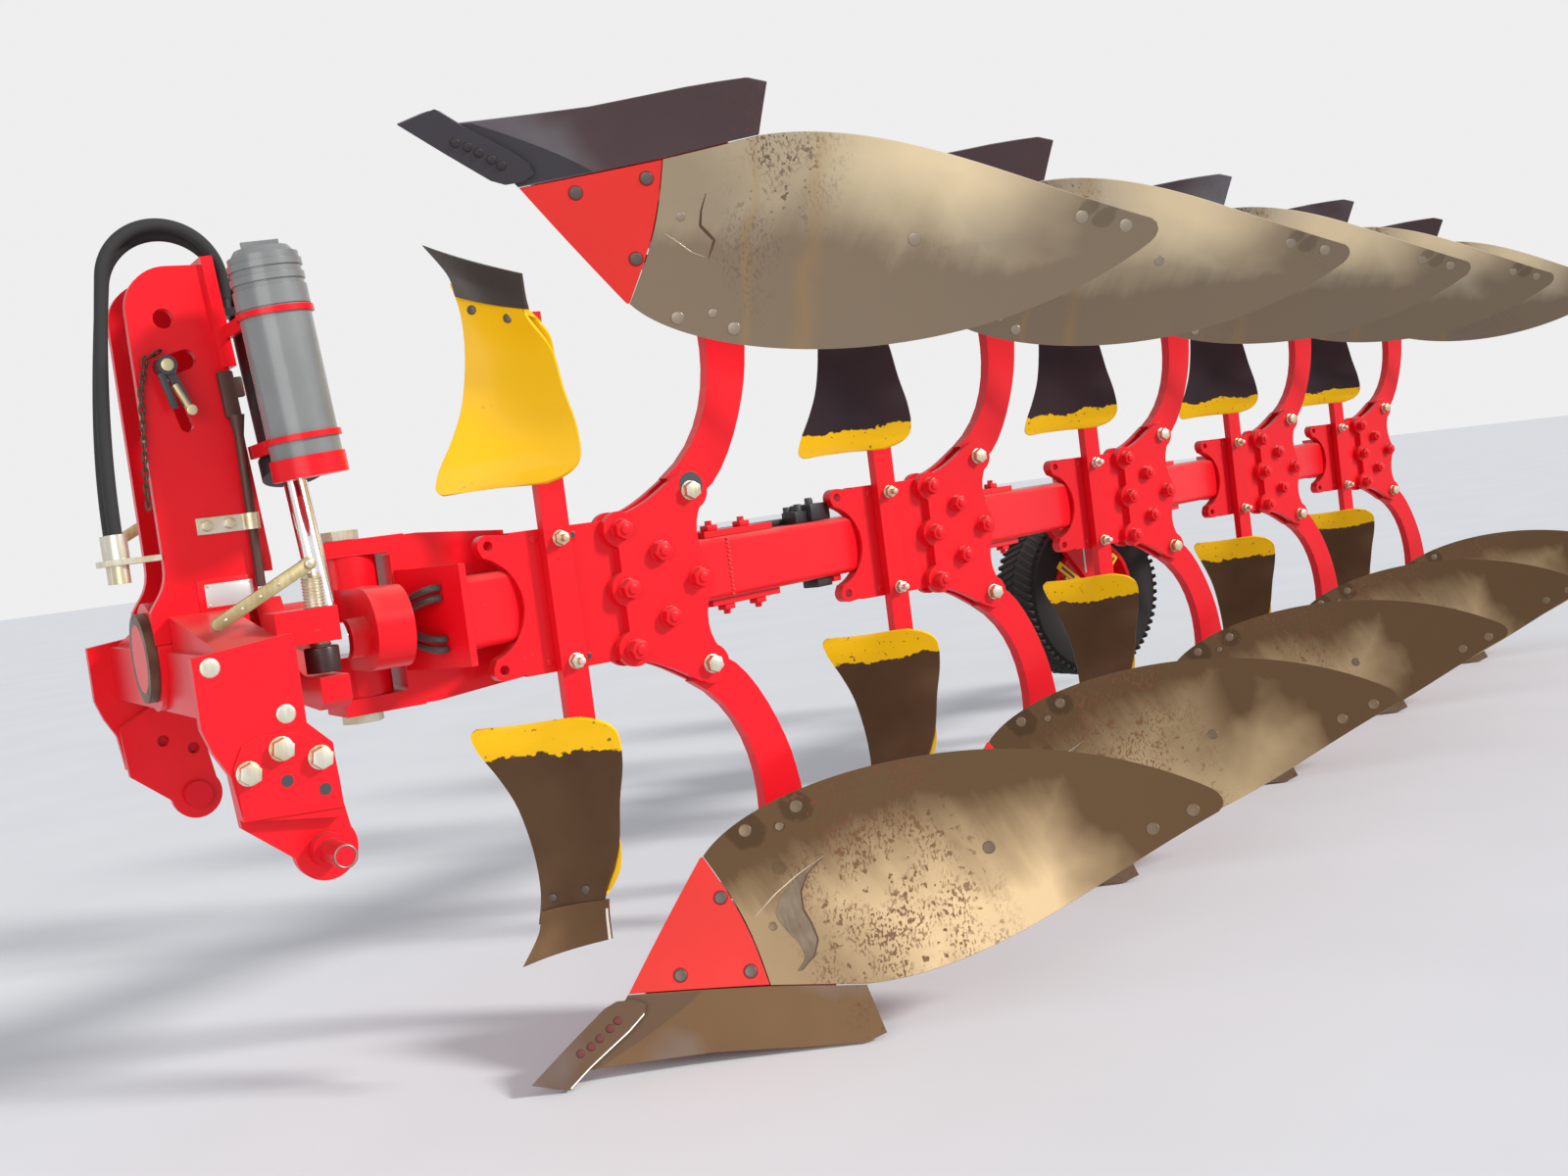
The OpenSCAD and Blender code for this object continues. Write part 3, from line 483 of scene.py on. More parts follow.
@dataclass(frozen=True)
class SoilSteel(Finish):
    """Steel that soil has ground bright, with a brown film, streaks along the flow and rust specks.

    The film can grow towards one edge and at the tail. On the boards this is brown film and painted shade at
    once, and the part left bright is where the highlight falls.
    The surface can also darken towards the nose, and a painted highlight can lie as a bright strip near the outer
    edge.
    Runs and stains can lie on the film, and rust pits gather in a band. Distances behind the leg bolt and depths
    are in metres; columns and stains are in millimetres, as (distance, half width, weight) and (distance, depth,
    radius, weight).
    """

    specular: float = 0.25
    # Colour of the film, and also of the painted shade towards the edge and the tail.
    film_and_shade: Point = (0.16, 0.105, 0.065)
    rust: Point = (0.12, 0.048, 0.022)
    ochre: Point = (0.36, 0.21, 0.065)
    tint: Point = (0.30, 0.33, 0.36)
    # Colour of the painted highlight.
    bright: Point = (0.86, 0.68, 0.42)
    film_share: float = 0.5
    # Film and painted shade towards one edge and the tail, and darkening towards the nose.
    film_and_shade_edge: float = 0.0
    edge: Pair = (0.35, 0.85)
    film_and_shade_tail: float = 0.0
    tail: Pair = (0.25, 0.7)
    nose_darkening: float = 0.0
    nose: Pair = (-0.05, 0.2)
    band: Point = (0.08, 0.22, 0.75)
    band_depth: float = 0.5
    # Painted highlight strip: where it starts and ends behind the leg bolt, and its strength.
    highlight_strip: Point = (0.0, 0.0, 0.0)
    columns: tuple = ()
    stains: tuple = ()

    def films_and_shade(self, t: Tree, uv: Socket, streak: Socket, x: Socket) -> Socket:
        """Lays out the brown film in clouds, the film and painted shade towards one edge and the tail, and the
        darkening at the nose.

        Args:
            t: Tree of the material.
            uv: Map along and across the flow.
            streak: Noise drawn out along the flow.
            x: Distance behind the leg bolt in metres.

        Returns:
            Mask of the film and painted shade.
        """
        runs = t.noise(t.stretched(uv, (24.0, 1.6, 1.0)), 1.0, 5.0, Roughness=0.6)
        broad = t.noise(t.place(), 2.6, 4.0)
        cloud = PATCHES.put(t, Scale=2.6, Detail=6.0, Low=0.62 - 0.3 * self.film_share, High=0.78)
        shifted = t.plus(t.part(uv, "Y"), t.plus(t.sway(runs, 0.05), t.sway(broad, 0.14)))
        edge = t.span(shifted, *self.edge, self.film_and_shade_edge, 0.0)
        wander = t.plus(x, t.sway(broad, 0.1))
        tail = t.span(wander, *self.tail, 0.0, self.film_and_shade_tail)
        ends = t.most(tail, t.span(wander, *self.nose, self.nose_darkening, 0.0))
        clouds = t.times(cloud, 0.8, t.span(streak, 0.25, 0.7, 0.85, 1.0))
        return t.most(clouds, t.most(edge, ends))

    def painted_highlight(self, t: Tree, uv: Socket, x: Socket) -> Socket:
        """Lays out the painted highlight, a bright strip near the outer edge, between two distances.

        Args:
            t: Tree of the material.
            uv: Map along and across the flow.
            x: Distance behind the leg bolt in metres.

        Returns:
            Mask of the painted highlight.
        """
        low, high, weight = self.highlight_strip
        inside = t.between(x, low, high, (0.08, 0.08, 0.1, 0.1))
        shifted = t.plus(t.part(uv, "Y"), t.sway(t.noise(t.place(), 5.0, 4.0), 0.1))
        return t.times(inside, t.span(shifted, 0.55, 0.95, 0.0, weight))

    def pits(self, t: Tree, x: Socket, depth: Socket) -> Socket:
        """Lays out the upright rust pits of the band and some stray ones.

        Args:
            t: Tree of the material.
            x: Distance behind the leg bolt in metres.
            depth: Depth below the beam in metres.

        Returns:
            Mask of the pits.
        """
        tall = t.stretched(t.place(), (210.0, 210.0, 95.0))
        speck = t.span(t.noise(tall, 1.0, 3.0), 0.535, 0.585)
        blot = PATCHES.put(t, Scale=60.0, Detail=5.0, Low=0.62, High=0.65)
        low, high, strength = self.band
        deep = t.span(depth, self.band_depth - 0.06, self.band_depth + 0.06)
        inside = t.times(t.between(x, low, high, (0.05, 0.03, 0.04, 0.06)), deep)
        zone = PATCHES.put(t, Scale=12.0, Detail=6.0, Low=0.42, High=0.58)
        stray = PATCHES.put(t, Scale=4.2, Detail=3.0, Low=0.62, High=0.72)
        fine = t.times(speck, t.most(t.times(inside, zone, strength), t.times(stray, 0.35)))
        return t.most(fine, t.times(blot, t.times(inside, strength)))

    def drips(self, t: Tree, x: Socket) -> Socket:
        """Lays out the upright ochre runs.

        Args:
            t: Tree of the material.
            x: Distance behind the leg bolt in metres.

        Returns:
            Mask of the runs.
        """
        noise = t.noise(t.stretched(t.place(), (26.0, 26.0, 5.0)), 1.0, 5.0)
        wavy = t.plus(x, t.sway(noise, 0.012))
        drawn: Socket | float = 0.0
        for column, half, weight in self.columns:
            off = t.math("ABSOLUTE", t.math("SUBTRACT", wavy, mm(column)))
            drawn = t.most(drawn, t.span(off, 0.0, mm(half), weight, 0.0))
        return t.times(drawn, t.span(noise, 0.3, 0.7, 0.45, 1.0))

    def stained(self, t: Tree) -> Socket:
        """Lays out the dark rings and spots round bolts.

        Args:
            t: Tree of the material.

        Returns:
            Mask of the stains.
        """
        mask = t.times(0.0, 0.0)
        for x, h, radius, weight in self.stains:
            spot = SPOTS.put(t, X=mm(x), Depth=mm(h), Radius=mm(radius))
            mask = t.most(mask, t.times(spot, weight))
        return mask

    def paint(self, t: Tree, shader: bpy.types.Node) -> None:
        """Joins bright steel, film and painted shade, the painted highlight, runs, stains and rust to the shader;
        UV runs along the flow of the soil.

        Args:
            t: Tree of the material.
            shader: Its main shader node.
        """
        uv, spot = t.uv("flow"), t.uv("spot")
        streak = t.noise(t.stretched(uv, (1.2, 44.0, 1.0)), 3.0, 6.0, Roughness=0.6)
        x = t.part(spot, "X")
        film_and_shade, pits, stained = self.films_and_shade(t, uv, streak, x), self.pits(t, x, t.part(spot, "Y")), self.stained(t)
        cool = PATCHES.put(t, Scale=3.4, Detail=3.0, Low=0.5, High=0.7)
        base = t.mix(t.times(cool, 0.4), rgba(self.colour), rgba(self.tint))
        base = t.mix(t.span(streak, 0.45, 0.75, 0.0, 0.12), base, rgba(self.colour, 1.4))
        # Film and painted shade in the film colour.
        base = t.mix(film_and_shade, base, rgba(self.film_and_shade))
        # Painted highlight in its bright colour.
        if self.highlight_strip[2]:
            base = t.mix(self.painted_highlight(t, uv, x), base, rgba(self.bright))
        if self.columns:
            base = t.mix(self.drips(t, x), base, rgba(self.ochre))
        base = t.mix(stained, base, rgba(self.film_and_shade, 0.55))
        t.join(t.mix(t.times(pits, 0.85), base, rgba(self.rust)), shader, "Base Color")
        dull = t.most(film_and_shade, stained)
        rough = t.plus(t.span(dull, 0, 1, self.roughness, self.roughness + 0.16), t.times(pits, 0.35))
        t.join(t.plus(rough, t.span(streak, 0.3, 0.7, -0.03, 0.04)), shader, "Roughness")
        metal = t.math("SUBTRACT", self.metallic, t.plus(t.times(pits, 0.6), t.times(dull, 0.3)))
        t.join(t.most(metal, 0.0), shader, "Metallic")
        self.bump(t, shader, t.math("SUBTRACT", t.times(streak, 0.4), t.times(pits, 0.9)), 0.0)


@dataclass(frozen=True)
class BandedPaint(Finish):
    """Skimmer coat: yellow at the root down to a depth in metres, soil-worn or dark beyond it."""

    root: Point = (0.95, 0.54, 0.004)
    band: float = 0.262
    band_soft: float = 0.0012
    worn: Point = (0.13, 0.10, 0.075)

    def paint(self, t: Tree, shader: bpy.types.Node) -> None:
        """Joins the yellow root and the worn field to the shader.

        Args:
            t: Tree of the material.
            shader: Its main shader node.
        """
        depth, place = t.part(t.uv("spot"), "Y"), t.place()
        broad, fine = t.noise(place, 9.0, 2.0), t.noise(place, 70.0, 6.0)
        ragged = t.plus(t.span(broad, 0.2, 0.8, -0.014, 0.014), t.span(fine, 0.2, 0.8, -0.007, 0.007))
        worn = t.span(t.plus(depth, ragged), self.band - self.band_soft, self.band + self.band_soft)
        cloud = PATCHES.put(t, Scale=6.0, Detail=6.0, Low=0.35, High=0.7)
        field = t.mix(cloud, rgba(self.colour), rgba(self.worn))
        speck = PATCHES.put(t, Scale=80.0, Detail=3.0, Low=0.66, High=0.69)
        root = t.mix(t.times(speck, 0.8), rgba(self.root), rgba(self.worn))
        t.join(t.mix(worn, root, field), shader, "Base Color")
        t.join(t.times(worn, self.metallic), shader, "Metallic")
        t.join(t.span(t.plus(worn, cloud), 0.0, 2.0, 0.32, self.roughness), shader, "Roughness")
        self.bump(t, shader, None, 0.0)


@dataclass(frozen=True)
class Brushed(Finish):
    """Plated or drawn metal with fine lines along one way and a tint in patches."""

    tint: Point = (0.55, 0.45, 0.22)

    def paint(self, t: Tree, shader: bpy.types.Node) -> None:
        """Joins plate and tint to the shader.

        Args:
            t: Tree of the material.
            shader: Its main shader node.
        """
        cloud = PATCHES.put(t, Scale=18.0, Detail=4.0, Low=0.4, High=0.65)
        t.join(t.mix(cloud, rgba(self.colour), rgba(self.tint)), shader, "Base Color")
        line = PATCHES.put(t, Scale=30.0, Detail=3.0, Low=0.3, High=0.7, Stretch=8.0)
        t.join(t.span(line, 0, 1, self.roughness * 0.8, self.roughness * 1.3), shader, "Roughness")
        self.bump(t, shader)


# Coats.
RED_PAINT = Paint("red_gloss", "red_paint", (0.80, 0.006, 0.014), 0.28, coat=0.12, grain_depth=0.00012, dust=0.42)
PIN_PAINT = Paint("red_pin", "pin_steel", (0.72, 0.0075, 0.018), 0.3, chips=1.0, under=(0.4, 0.38, 0.35))
WELD_RED = Paint("red_weld", "red_paint", (0.78, 0.10, 0.09), 0.4, chips=1.0, under=(0.55, 0.5, 0.45))
SHIN_PAINT = Paint("red_shin", "red_paint", (0.78, 0.03, 0.022), 0.38, coat=0.05, dust=0.1, chips=0.6)
SEAT_RED = Paint("red_seat", "red_paint", (0.30, 0.012, 0.012), 0.5, dust=0.1)
YELLOW_PAINT = Paint("yellow_gloss", "yellow_paint", (0.96, 0.54, 0.002), 0.32, coat=0.1, dust=0.12, chips=0.3)
BLACK_PAINT = Finish("black_satin", "black_paint", (0.02, 0.02, 0.022), 0.4, coat=0.1)
SKIM_BROWN = BandedPaint(
    "skimmer_brown", "worn_steel", (0.115, 0.062, 0.03), 0.5, 0.4, specular=0.2, band=0.275,
    worn=(0.085, 0.043, 0.02),
)
SKIM_DARK = BandedPaint(
    "skimmer_dark", "worn_steel", (0.032, 0.02, 0.026), 0.42, 0.3, specular=0.25, worn=(0.05, 0.026, 0.028)
)

# Steel that soil slides over.
# Upper boards: film and painted shade towards the beam and the tail, a darker nose, and a painted highlight
# strip.
HIGH_BOARD = SoilSteel(
    "board_steel_high", "board_steel", (0.52, 0.425, 0.28), 0.3, 0.85, grain_depth=0.0002,
    film_and_shade=(0.165, 0.118, 0.08), film_share=0.45, film_and_shade_edge=0.85, edge=(0.38, 0.8),
    film_and_shade_tail=0.85, tail=(0.42, 0.62), nose_darkening=0.55, nose=(0.02, 0.2), tint=(0.36, 0.35, 0.34),
    rust=(0.085, 0.04, 0.035), band=(0.09, 0.2, 0.95), band_depth=0.63, highlight_strip=(0.26, 0.52, 0.9),
    columns=((101, 12, 0.4), (199, 24, 0.4)),
    stains=((612, 584, 15, 0.4), (636, 562, 17, 0.4), (648, 580, 9, 0.4)),
)
# Lower boards: film and painted shade towards the beam and the tail leave the lower edge bright where the
# highlight falls; darker towards the nose.
LOW_BOARD = SoilSteel(
    "board_steel_low", "board_steel", (0.46, 0.335, 0.19), 0.34, 0.8, grain_depth=0.0003,
    film_and_shade=(0.09, 0.047, 0.019), film_share=0.45, film_and_shade_edge=0.97, edge=(0.22, 0.75),
    film_and_shade_tail=0.97, tail=(0.36, 0.52), nose_darkening=0.5, nose=(0.02, 0.22), tint=(0.30, 0.22, 0.13),
    rust=(0.16, 0.062, 0.026), band=(0.05, 0.32, 0.9), band_depth=0.1,
    stains=((-12, 487, 36, 0.7), (82, 456, 30, 0.7), (46, 488, 10, 0.8), (26, 562, 13, 0.35)),
)
SHARE_HIGH = SoilSteel(
    "share_steel_high", "worn_steel", (0.085, 0.055, 0.058), 0.45, 0.45, grain_depth=0.0004,
    film_and_shade=(0.055, 0.033, 0.033), film_share=0.9,
)
SHARE_LOW = SoilSteel(
    "share_steel_low", "worn_steel", (0.165, 0.092, 0.042), 0.5, 0.35, grain_depth=0.0005,
    film_and_shade=(0.115, 0.055, 0.021), film_share=1.0,
)
POINT_LOW = SoilSteel(
    "point_steel_low", "worn_steel", (0.125, 0.072, 0.04), 0.5, 0.25, grain_depth=0.0004,
    film_and_shade=(0.095, 0.05, 0.026), film_share=1.0,
)
POINT_HIGH = SoilSteel(
    "point_steel_high", "worn_steel", (0.04, 0.036, 0.042), 0.5, 0.2, grain_depth=0.0004,
    film_and_shade=(0.03, 0.024, 0.026), film_share=1.0, tint=(0.06, 0.06, 0.07),
)

# Plain steel and its bolts.
FRESH_STEEL = Brushed("fresh_steel", "worn_steel", (0.93, 0.90, 0.80), 0.3, 0.55, tint=(0.85, 0.80, 0.66))
WEAR_STEEL = Brushed("wear_steel", "board_steel", (0.19, 0.145, 0.10), 0.46, 0.6, tint=(0.13, 0.092, 0.06))
SCRATCH_STEEL = Brushed("scratch_steel", "board_steel", (0.56, 0.47, 0.35), 0.35, 0.7, tint=(0.42, 0.34, 0.24))
BARE_STEEL = Brushed("bare_steel", "board_steel", (0.30, 0.255, 0.20), 0.4, 0.8, tint=(0.25, 0.21, 0.16))
DARK_BOLT = Finish("dark_bolt", "worn_steel", (0.035, 0.026, 0.028), 0.55, 0.3)
RUST_BOLT = Finish("rust_bolt", "worn_steel", (0.15, 0.035, 0.03), 0.6, 0.2)
# Dark strip along the worn step: a dark rim, widened on the upper bodies into a painted shadow of the step.
RUST_AND_SHADOW_EDGE = Finish("rust_and_shadow_edge", "board_steel", (0.11, 0.055, 0.03), 0.7, 0.1)
BOLT_STEEL = Finish("bolt_steel", "board_steel", (0.34, 0.28, 0.21), 0.36, 0.8)
SHIN_BOLT = Finish("shin_bolt", "worn_steel", (0.12, 0.10, 0.085), 0.45, 0.6)
LOW_BOLT = Finish("bolt_brown", "board_steel", (0.17, 0.115, 0.07), 0.42, 0.5)
TIP_BROWN = Finish(
    "skimmer_tip_brown", "worn_steel", (0.155, 0.085, 0.038), 0.45, 0.5, grain_depth=0.0003, specular=0.25
)
TIP_DARK = Finish("skimmer_tip_dark", "worn_steel", (0.055, 0.045, 0.038), 0.45, 0.4, grain_depth=0.0003)
DARK_METAL = Finish("dark_metal", "dark_metal", (0.035, 0.034, 0.036), 0.42, 0.6)
BAR_STEEL = Finish("bar_rusty", "dark_metal", (0.10, 0.045, 0.035), 0.5, 0.35, grain_depth=0.0003)
SPINDLE_HEAD = Finish("spindle_head", "dark_metal", (0.045, 0.022, 0.022), 0.35, 0.3)
CHAIN_STEEL = Finish("chain_steel", "dark_metal", (0.10, 0.062, 0.04), 0.6, 0.6)

# Plated metal.
ZINC = Brushed("zinc_plate", "zinc", (0.66, 0.62, 0.52), 0.34, 0.85)
LEVER_ZINC = Brushed("lever_zinc", "zinc", (0.36, 0.285, 0.14), 0.4, 0.75, tint=(0.46, 0.38, 0.21))
GOLD_ZINC = Brushed("gold_zinc", "zinc", (0.60, 0.52, 0.30), 0.36, 0.8, tint=(0.68, 0.60, 0.40))
NUT_BRONZE = Brushed("nut_bronze", "dark_metal", (0.17, 0.10, 0.055), 0.42, 0.6, tint=(0.10, 0.06, 0.04))
CHROME = Brushed("hard_chrome", "chrome_rod", (0.86, 0.86, 0.87), 0.1, 1.0, tint=(0.8, 0.8, 0.82))
BLANK_PLATE = Finish("blank_plate", "zinc", (0.62, 0.62, 0.60), 0.35, 0.3)

# Plastic and rubber.
TUBE_PLASTIC = Finish("grey_plastic", "dark_plastic", (0.20, 0.205, 0.20), 0.3, coat=0.3)
HOSE_GREY = Finish("hose_grey", "hose_rubber", (0.075, 0.068, 0.06), 0.36)
RUBBER = Finish("hose_rubber", "hose_rubber", (0.016, 0.016, 0.017), 0.45)
TYRE_RUBBER = Paint("tyre_rubber", "tyre", (0.03, 0.029, 0.028), 0.75, dust=0.4, chips=0.0)

# Finish of every solid, also of those that a finer piece stands for.
COATS: dict[Finish, str] = {
    RED_PAINT: (
        "tower hub_housing cross_box cheeks hitch_plates tube_rings stop_bracket turn_shaft fork beam "
        "beam_flange beam_clamps consoles legs skimmer_stalks wheel_bracket wheel_arm wheel_rim shins"
    ),
    NUT_BRONZE: "lock_nut",
    PIN_PAINT: "hitch_pins",
    DARK_METAL: "top_pin landsides skimmer_blades",
    TUBE_PLASTIC: "tool_tube",
    BLACK_PAINT: "turn_barrel",
    CHROME: "turn_rod",
    BAR_STEEL: "steady_bar",
    ZINC: "bar_clamps hose_holder swing_pin",
    GOLD_ZINC: "tilt_spindles",
    HOSE_GREY: "beam_hoses",
    TYRE_RUBBER: "wheel_tyre",
    RUBBER: "hose_left hose_right",
    HIGH_BOARD: "boards",
    SHARE_LOW: "shares",
    YELLOW_PAINT: "skimmer_boards",
}


def dress_solids() -> None:
    """Gives every solid its finish."""
    for finish, nodes in COATS.items():
        for node in nodes.split():
            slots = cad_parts[node].data.materials
            slots.clear()
            slots.append(finish.material())


def shown(name: str, data: bpy.types.ID) -> bpy.types.Object:
    """Makes an object from its data and links it to the scene.

    Args:
        name: Name of the object.
        data: Its mesh, curve, camera or lamp.

    Returns:
        The object.
    """
    obj = bpy.data.objects.new(name, data)
    bpy.context.scene.collection.objects.link(obj)
    return obj


def hand_over(
    name: str, bm: Mesh, finish: Finish, body: Body, replaces: Sequence[str] = (), angle: float = 35.0
) -> bpy.types.Object:
    """Turns a bmesh into a finished piece that rides on its body.

    Args:
        name: Name of the piece.
        bm: Its shape in frame metres; it is freed here.
        finish: Finish of its surface.
        body: Body that it moves with.
        replaces: Solids that it stands for.
        angle: Sharpest angle that is shaded smooth, in degrees.

    Returns:
        The new object.
    """
    mesh = bpy.data.meshes.new(name)
    bm.to_mesh(mesh)
    bm.free()
    mesh.materials.append(finish.material())
    for face in mesh.polygons:
        face.use_smooth = True
    mesh.set_sharp_from_angle(angle=math.radians(angle))
    obj = shown(name, mesh)
    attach(obj, body.value)
    if replaces:
        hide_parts(*replaces)
    LOG.info("%s: %d faces", name, len(mesh.polygons))
    return obj


def frame_along(centre: Vector, axis: Vector, turn: float = 0.0) -> Matrix:
    """Matrix whose Z axis points along axis at a centre, turned about it in degrees."""
    facing = axis.normalized().to_track_quat("Z", "Y").to_matrix().to_4x4()
    return Matrix.Translation(centre) @ facing @ Matrix.Rotation(math.radians(turn), 4, "Z")


def made_since(bm: Mesh, before: set) -> list[bmesh.types.BMVert]:
    """Vertices that were not in a mesh before."""
    return [v for v in bm.verts if v not in before]


def edges_of(verts: Verts) -> list[bmesh.types.BMEdge]:
    """Edges at some vertices, each once."""
    return list(dict.fromkeys(e for v in verts for e in v.link_edges))


def bevel(bm: Mesh, verts: Verts, edges: Sequence[bmesh.types.BMEdge], width: float) -> list[bmesh.types.BMVert]:
    """Rounds edges of a shape.

    Args:
        bm: Mesh with the shape.
        verts: All the shape's vertices.
        edges: Edges that are rounded.
        width: Width of the rounding in millimetres.

    Returns:
        The shape's vertices afterwards.
    """
    grown = bmesh.ops.bevel(
        bm, geom=edges, offset=mm(width), segments=2, profile=0.5, affect="EDGES", material=-1
    )
    return list({v for v in (*verts, *grown["verts"]) if v.is_valid})


def raise_faces(bm: Mesh, faces: Sequence[bmesh.types.BMFace], way: Point) -> None:
    """Gives flat faces a thickness, as a way in metres."""
    grown = bmesh.ops.extrude_face_region(bm, geom=faces)
    bmesh.ops.translate(bm, vec=way, verts=[v for v in grown["geom"] if isinstance(v, bmesh.types.BMVert)])


def spin_line(bm: Mesh, line: Sequence[Pair], axis: Point, steps: int, closed: bool = False) -> None:
    """Spins a line of points round an axis through the origin.

    Args:
        bm: Mesh that takes the turned shape.
        line: Places of its points along X and Z in millimetres.
        axis: Axis of the spin.
        steps: Steps round it.
        closed: Whether the line's last point is joined to its first.
    """
    verts = [bm.verts.new((mm(x), 0, mm(z))) for x, z in line]
    ends = verts[1:] + verts[:1] if closed else verts[1:]
    edges = [bm.edges.new(pair) for pair in zip(verts, ends)]
    bmesh.ops.spin(
        bm, geom=verts + edges, cent=(0, 0, 0), axis=axis, angle=math.tau, steps=steps, use_merge=True
    )


def add_block(bm: Mesh, centre: Vector, size: Point, turn: Matrix | None = None, width: float = 1.0) -> None:
    """Adds a block with rounded edges.

    Args:
        bm: Mesh that takes the block.
        centre: Its middle in frame metres.
        size: Its sizes in millimetres.
        turn: Rotation about its middle.
        width: Width of its rounded edges in millimetres.
    """
    verts = bmesh.ops.create_cube(bm, size=mm(1))["verts"]
    bmesh.ops.scale(bm, vec=size, verts=verts)
    verts = bevel(bm, verts, edges_of(verts), width)
    bmesh.ops.transform(bm, matrix=Matrix.Translation(centre) @ (turn or Matrix.Identity(4)), verts=verts)


def add_ring(
    bm: Mesh, centre: Vector, axis: Vector, radius: float, thick: float, steps: int, sides: int,
    stretch: float = 1.0, turn: float = 0.0,
) -> None:
    """Adds a round-section ring, stretched along its first axis if wanted.

    Args:
        bm: Mesh that takes the ring.
        centre: Its middle in frame metres.
        axis: Direction that it is seen round from.
        radius: Radius of its centre line in millimetres.
        thick: Radius of its section in millimetres.
        steps: Steps round the ring.
        sides: Sides of its section.
        stretch: Length over width.
        turn: Turn about the axis in degrees.
    """
    before = set(bm.verts)
    start = bmesh.ops.create_circle(
        bm, segments=sides, radius=mm(thick), matrix=Matrix.Translation((mm(radius), 0, 0)) @ UPRIGHT
    )["verts"]
    bmesh.ops.spin(
        bm, geom=list(start) + edges_of(start), cent=(0, 0, 0), axis=(0, 0, 1), angle=math.tau, steps=steps,
        use_merge=True,
    )
    verts = made_since(bm, before)
    bmesh.ops.recalc_face_normals(bm, faces=[f for f in bm.faces if f.verts[0] not in before])
    bmesh.ops.scale(bm, vec=(stretch, 1, 1), verts=verts)
    bmesh.ops.transform(bm, matrix=frame_along(centre, axis, turn), verts=verts)


class Sides(Enum):
    """Number of sides of the turned and six-sided shapes."""

    HEX = 6
    STUD = 12
    DOME = 16
    RING = 20


@dataclass
class Fasteners:
    """Bolt ends and other turned shapes of one piece, gathered in one mesh."""

    name: str
    finish: Finish
    body: Body
    # Washer's height in millimetres; the others are shares of the width across flats.
    washer_height: float = 2.5
    washer_radius: float = 0.62
    corner_radius: float = 0.577
    head_height: float = 0.52
    head_chamfer: float = 0.05
    stud_radius: float = 0.28
    stud_foot: float = 0.5

    def __post_init__(self) -> None:
        """Starts the mesh that the bolts go into."""
        self.bm = bmesh.new()

    def cylinder(
        self, centre: Vector, axis: Vector, radius: float, height: float, sides: int = Sides.RING.value,
        chamfer: float = 0.0, top: float = 1.0, turn: float = 0.0,
    ) -> None:
        """Adds one turned or six-sided shape standing on a face.

        Args:
            centre: Middle of its foot in frame metres.
            axis: Direction in which it stands.
            radius: Radius of its foot in millimetres.
            height: Height in millimetres.
            sides: Number of sides.
            chamfer: Width of the bevel round its end in millimetres.
            top: Radius of its end over that of its foot.
            turn: Turn about its axis in degrees.
        """
        half = mm(height / 2)
        verts = bmesh.ops.create_cone(
            self.bm, cap_ends=True, segments=sides, radius1=mm(radius), radius2=mm(radius * top),
            depth=mm(height), matrix=Matrix.Translation((0, 0, half)),
        )["verts"]
        if chamfer:
            rim = [e for e in edges_of(verts) if all(p.co.z > half for p in e.verts)]
            verts = bevel(self.bm, verts, rim, chamfer)
        bmesh.ops.transform(self.bm, matrix=frame_along(centre, axis, turn), verts=verts)

    def hex_bolt(
        self, centre: Vector, axis: Vector, across: float, washer: bool = True, stud: float = 0.0,
        turn: float = 0.0,
    ) -> None:
        """Adds a six-sided head or nut.

        Args:
            centre: Middle of its foot in frame metres.
            axis: Direction in which it stands.
            across: Width across flats in millimetres.
            washer: Whether it sits on a washer.
            stud: Millimetres of the thread's end that show, if any.
            turn: Turn about its axis in degrees.
        """
        lift = self.washer_height if washer else 0.0
        up = axis.normalized()
        if washer:
            self.cylinder(centre, axis, across * self.washer_radius, lift, Sides.RING.value, 0.5)
        self.cylinder(
            centre + mm(up * lift), axis, across * self.corner_radius, across * self.head_height,
            Sides.HEX.value, across * self.head_chamfer, turn=turn,
        )
        if stud:
            foot = centre + mm(up * (lift + across * self.stud_foot))
            self.cylinder(foot, axis, across * self.stud_radius, stud, Sides.STUD.value, 1.5)

    def dome_bolt(self, centre: Vector, axis: Vector, radius: float, height: float) -> None:
        """Adds a low rounded plough-bolt head."""
        self.cylinder(centre, axis, radius, height, Sides.DOME.value, height * 0.6, 0.9)

    def close(self, replaces: Sequence[str] = ()) -> bpy.types.Object:
        """Hands the bolts over as one piece."""
        return hand_over(self.name, self.bm, self.finish, self.body, replaces)


Spot = tuple[Vector, Vector, Pair]
SHEET_ANGLE = 40.0


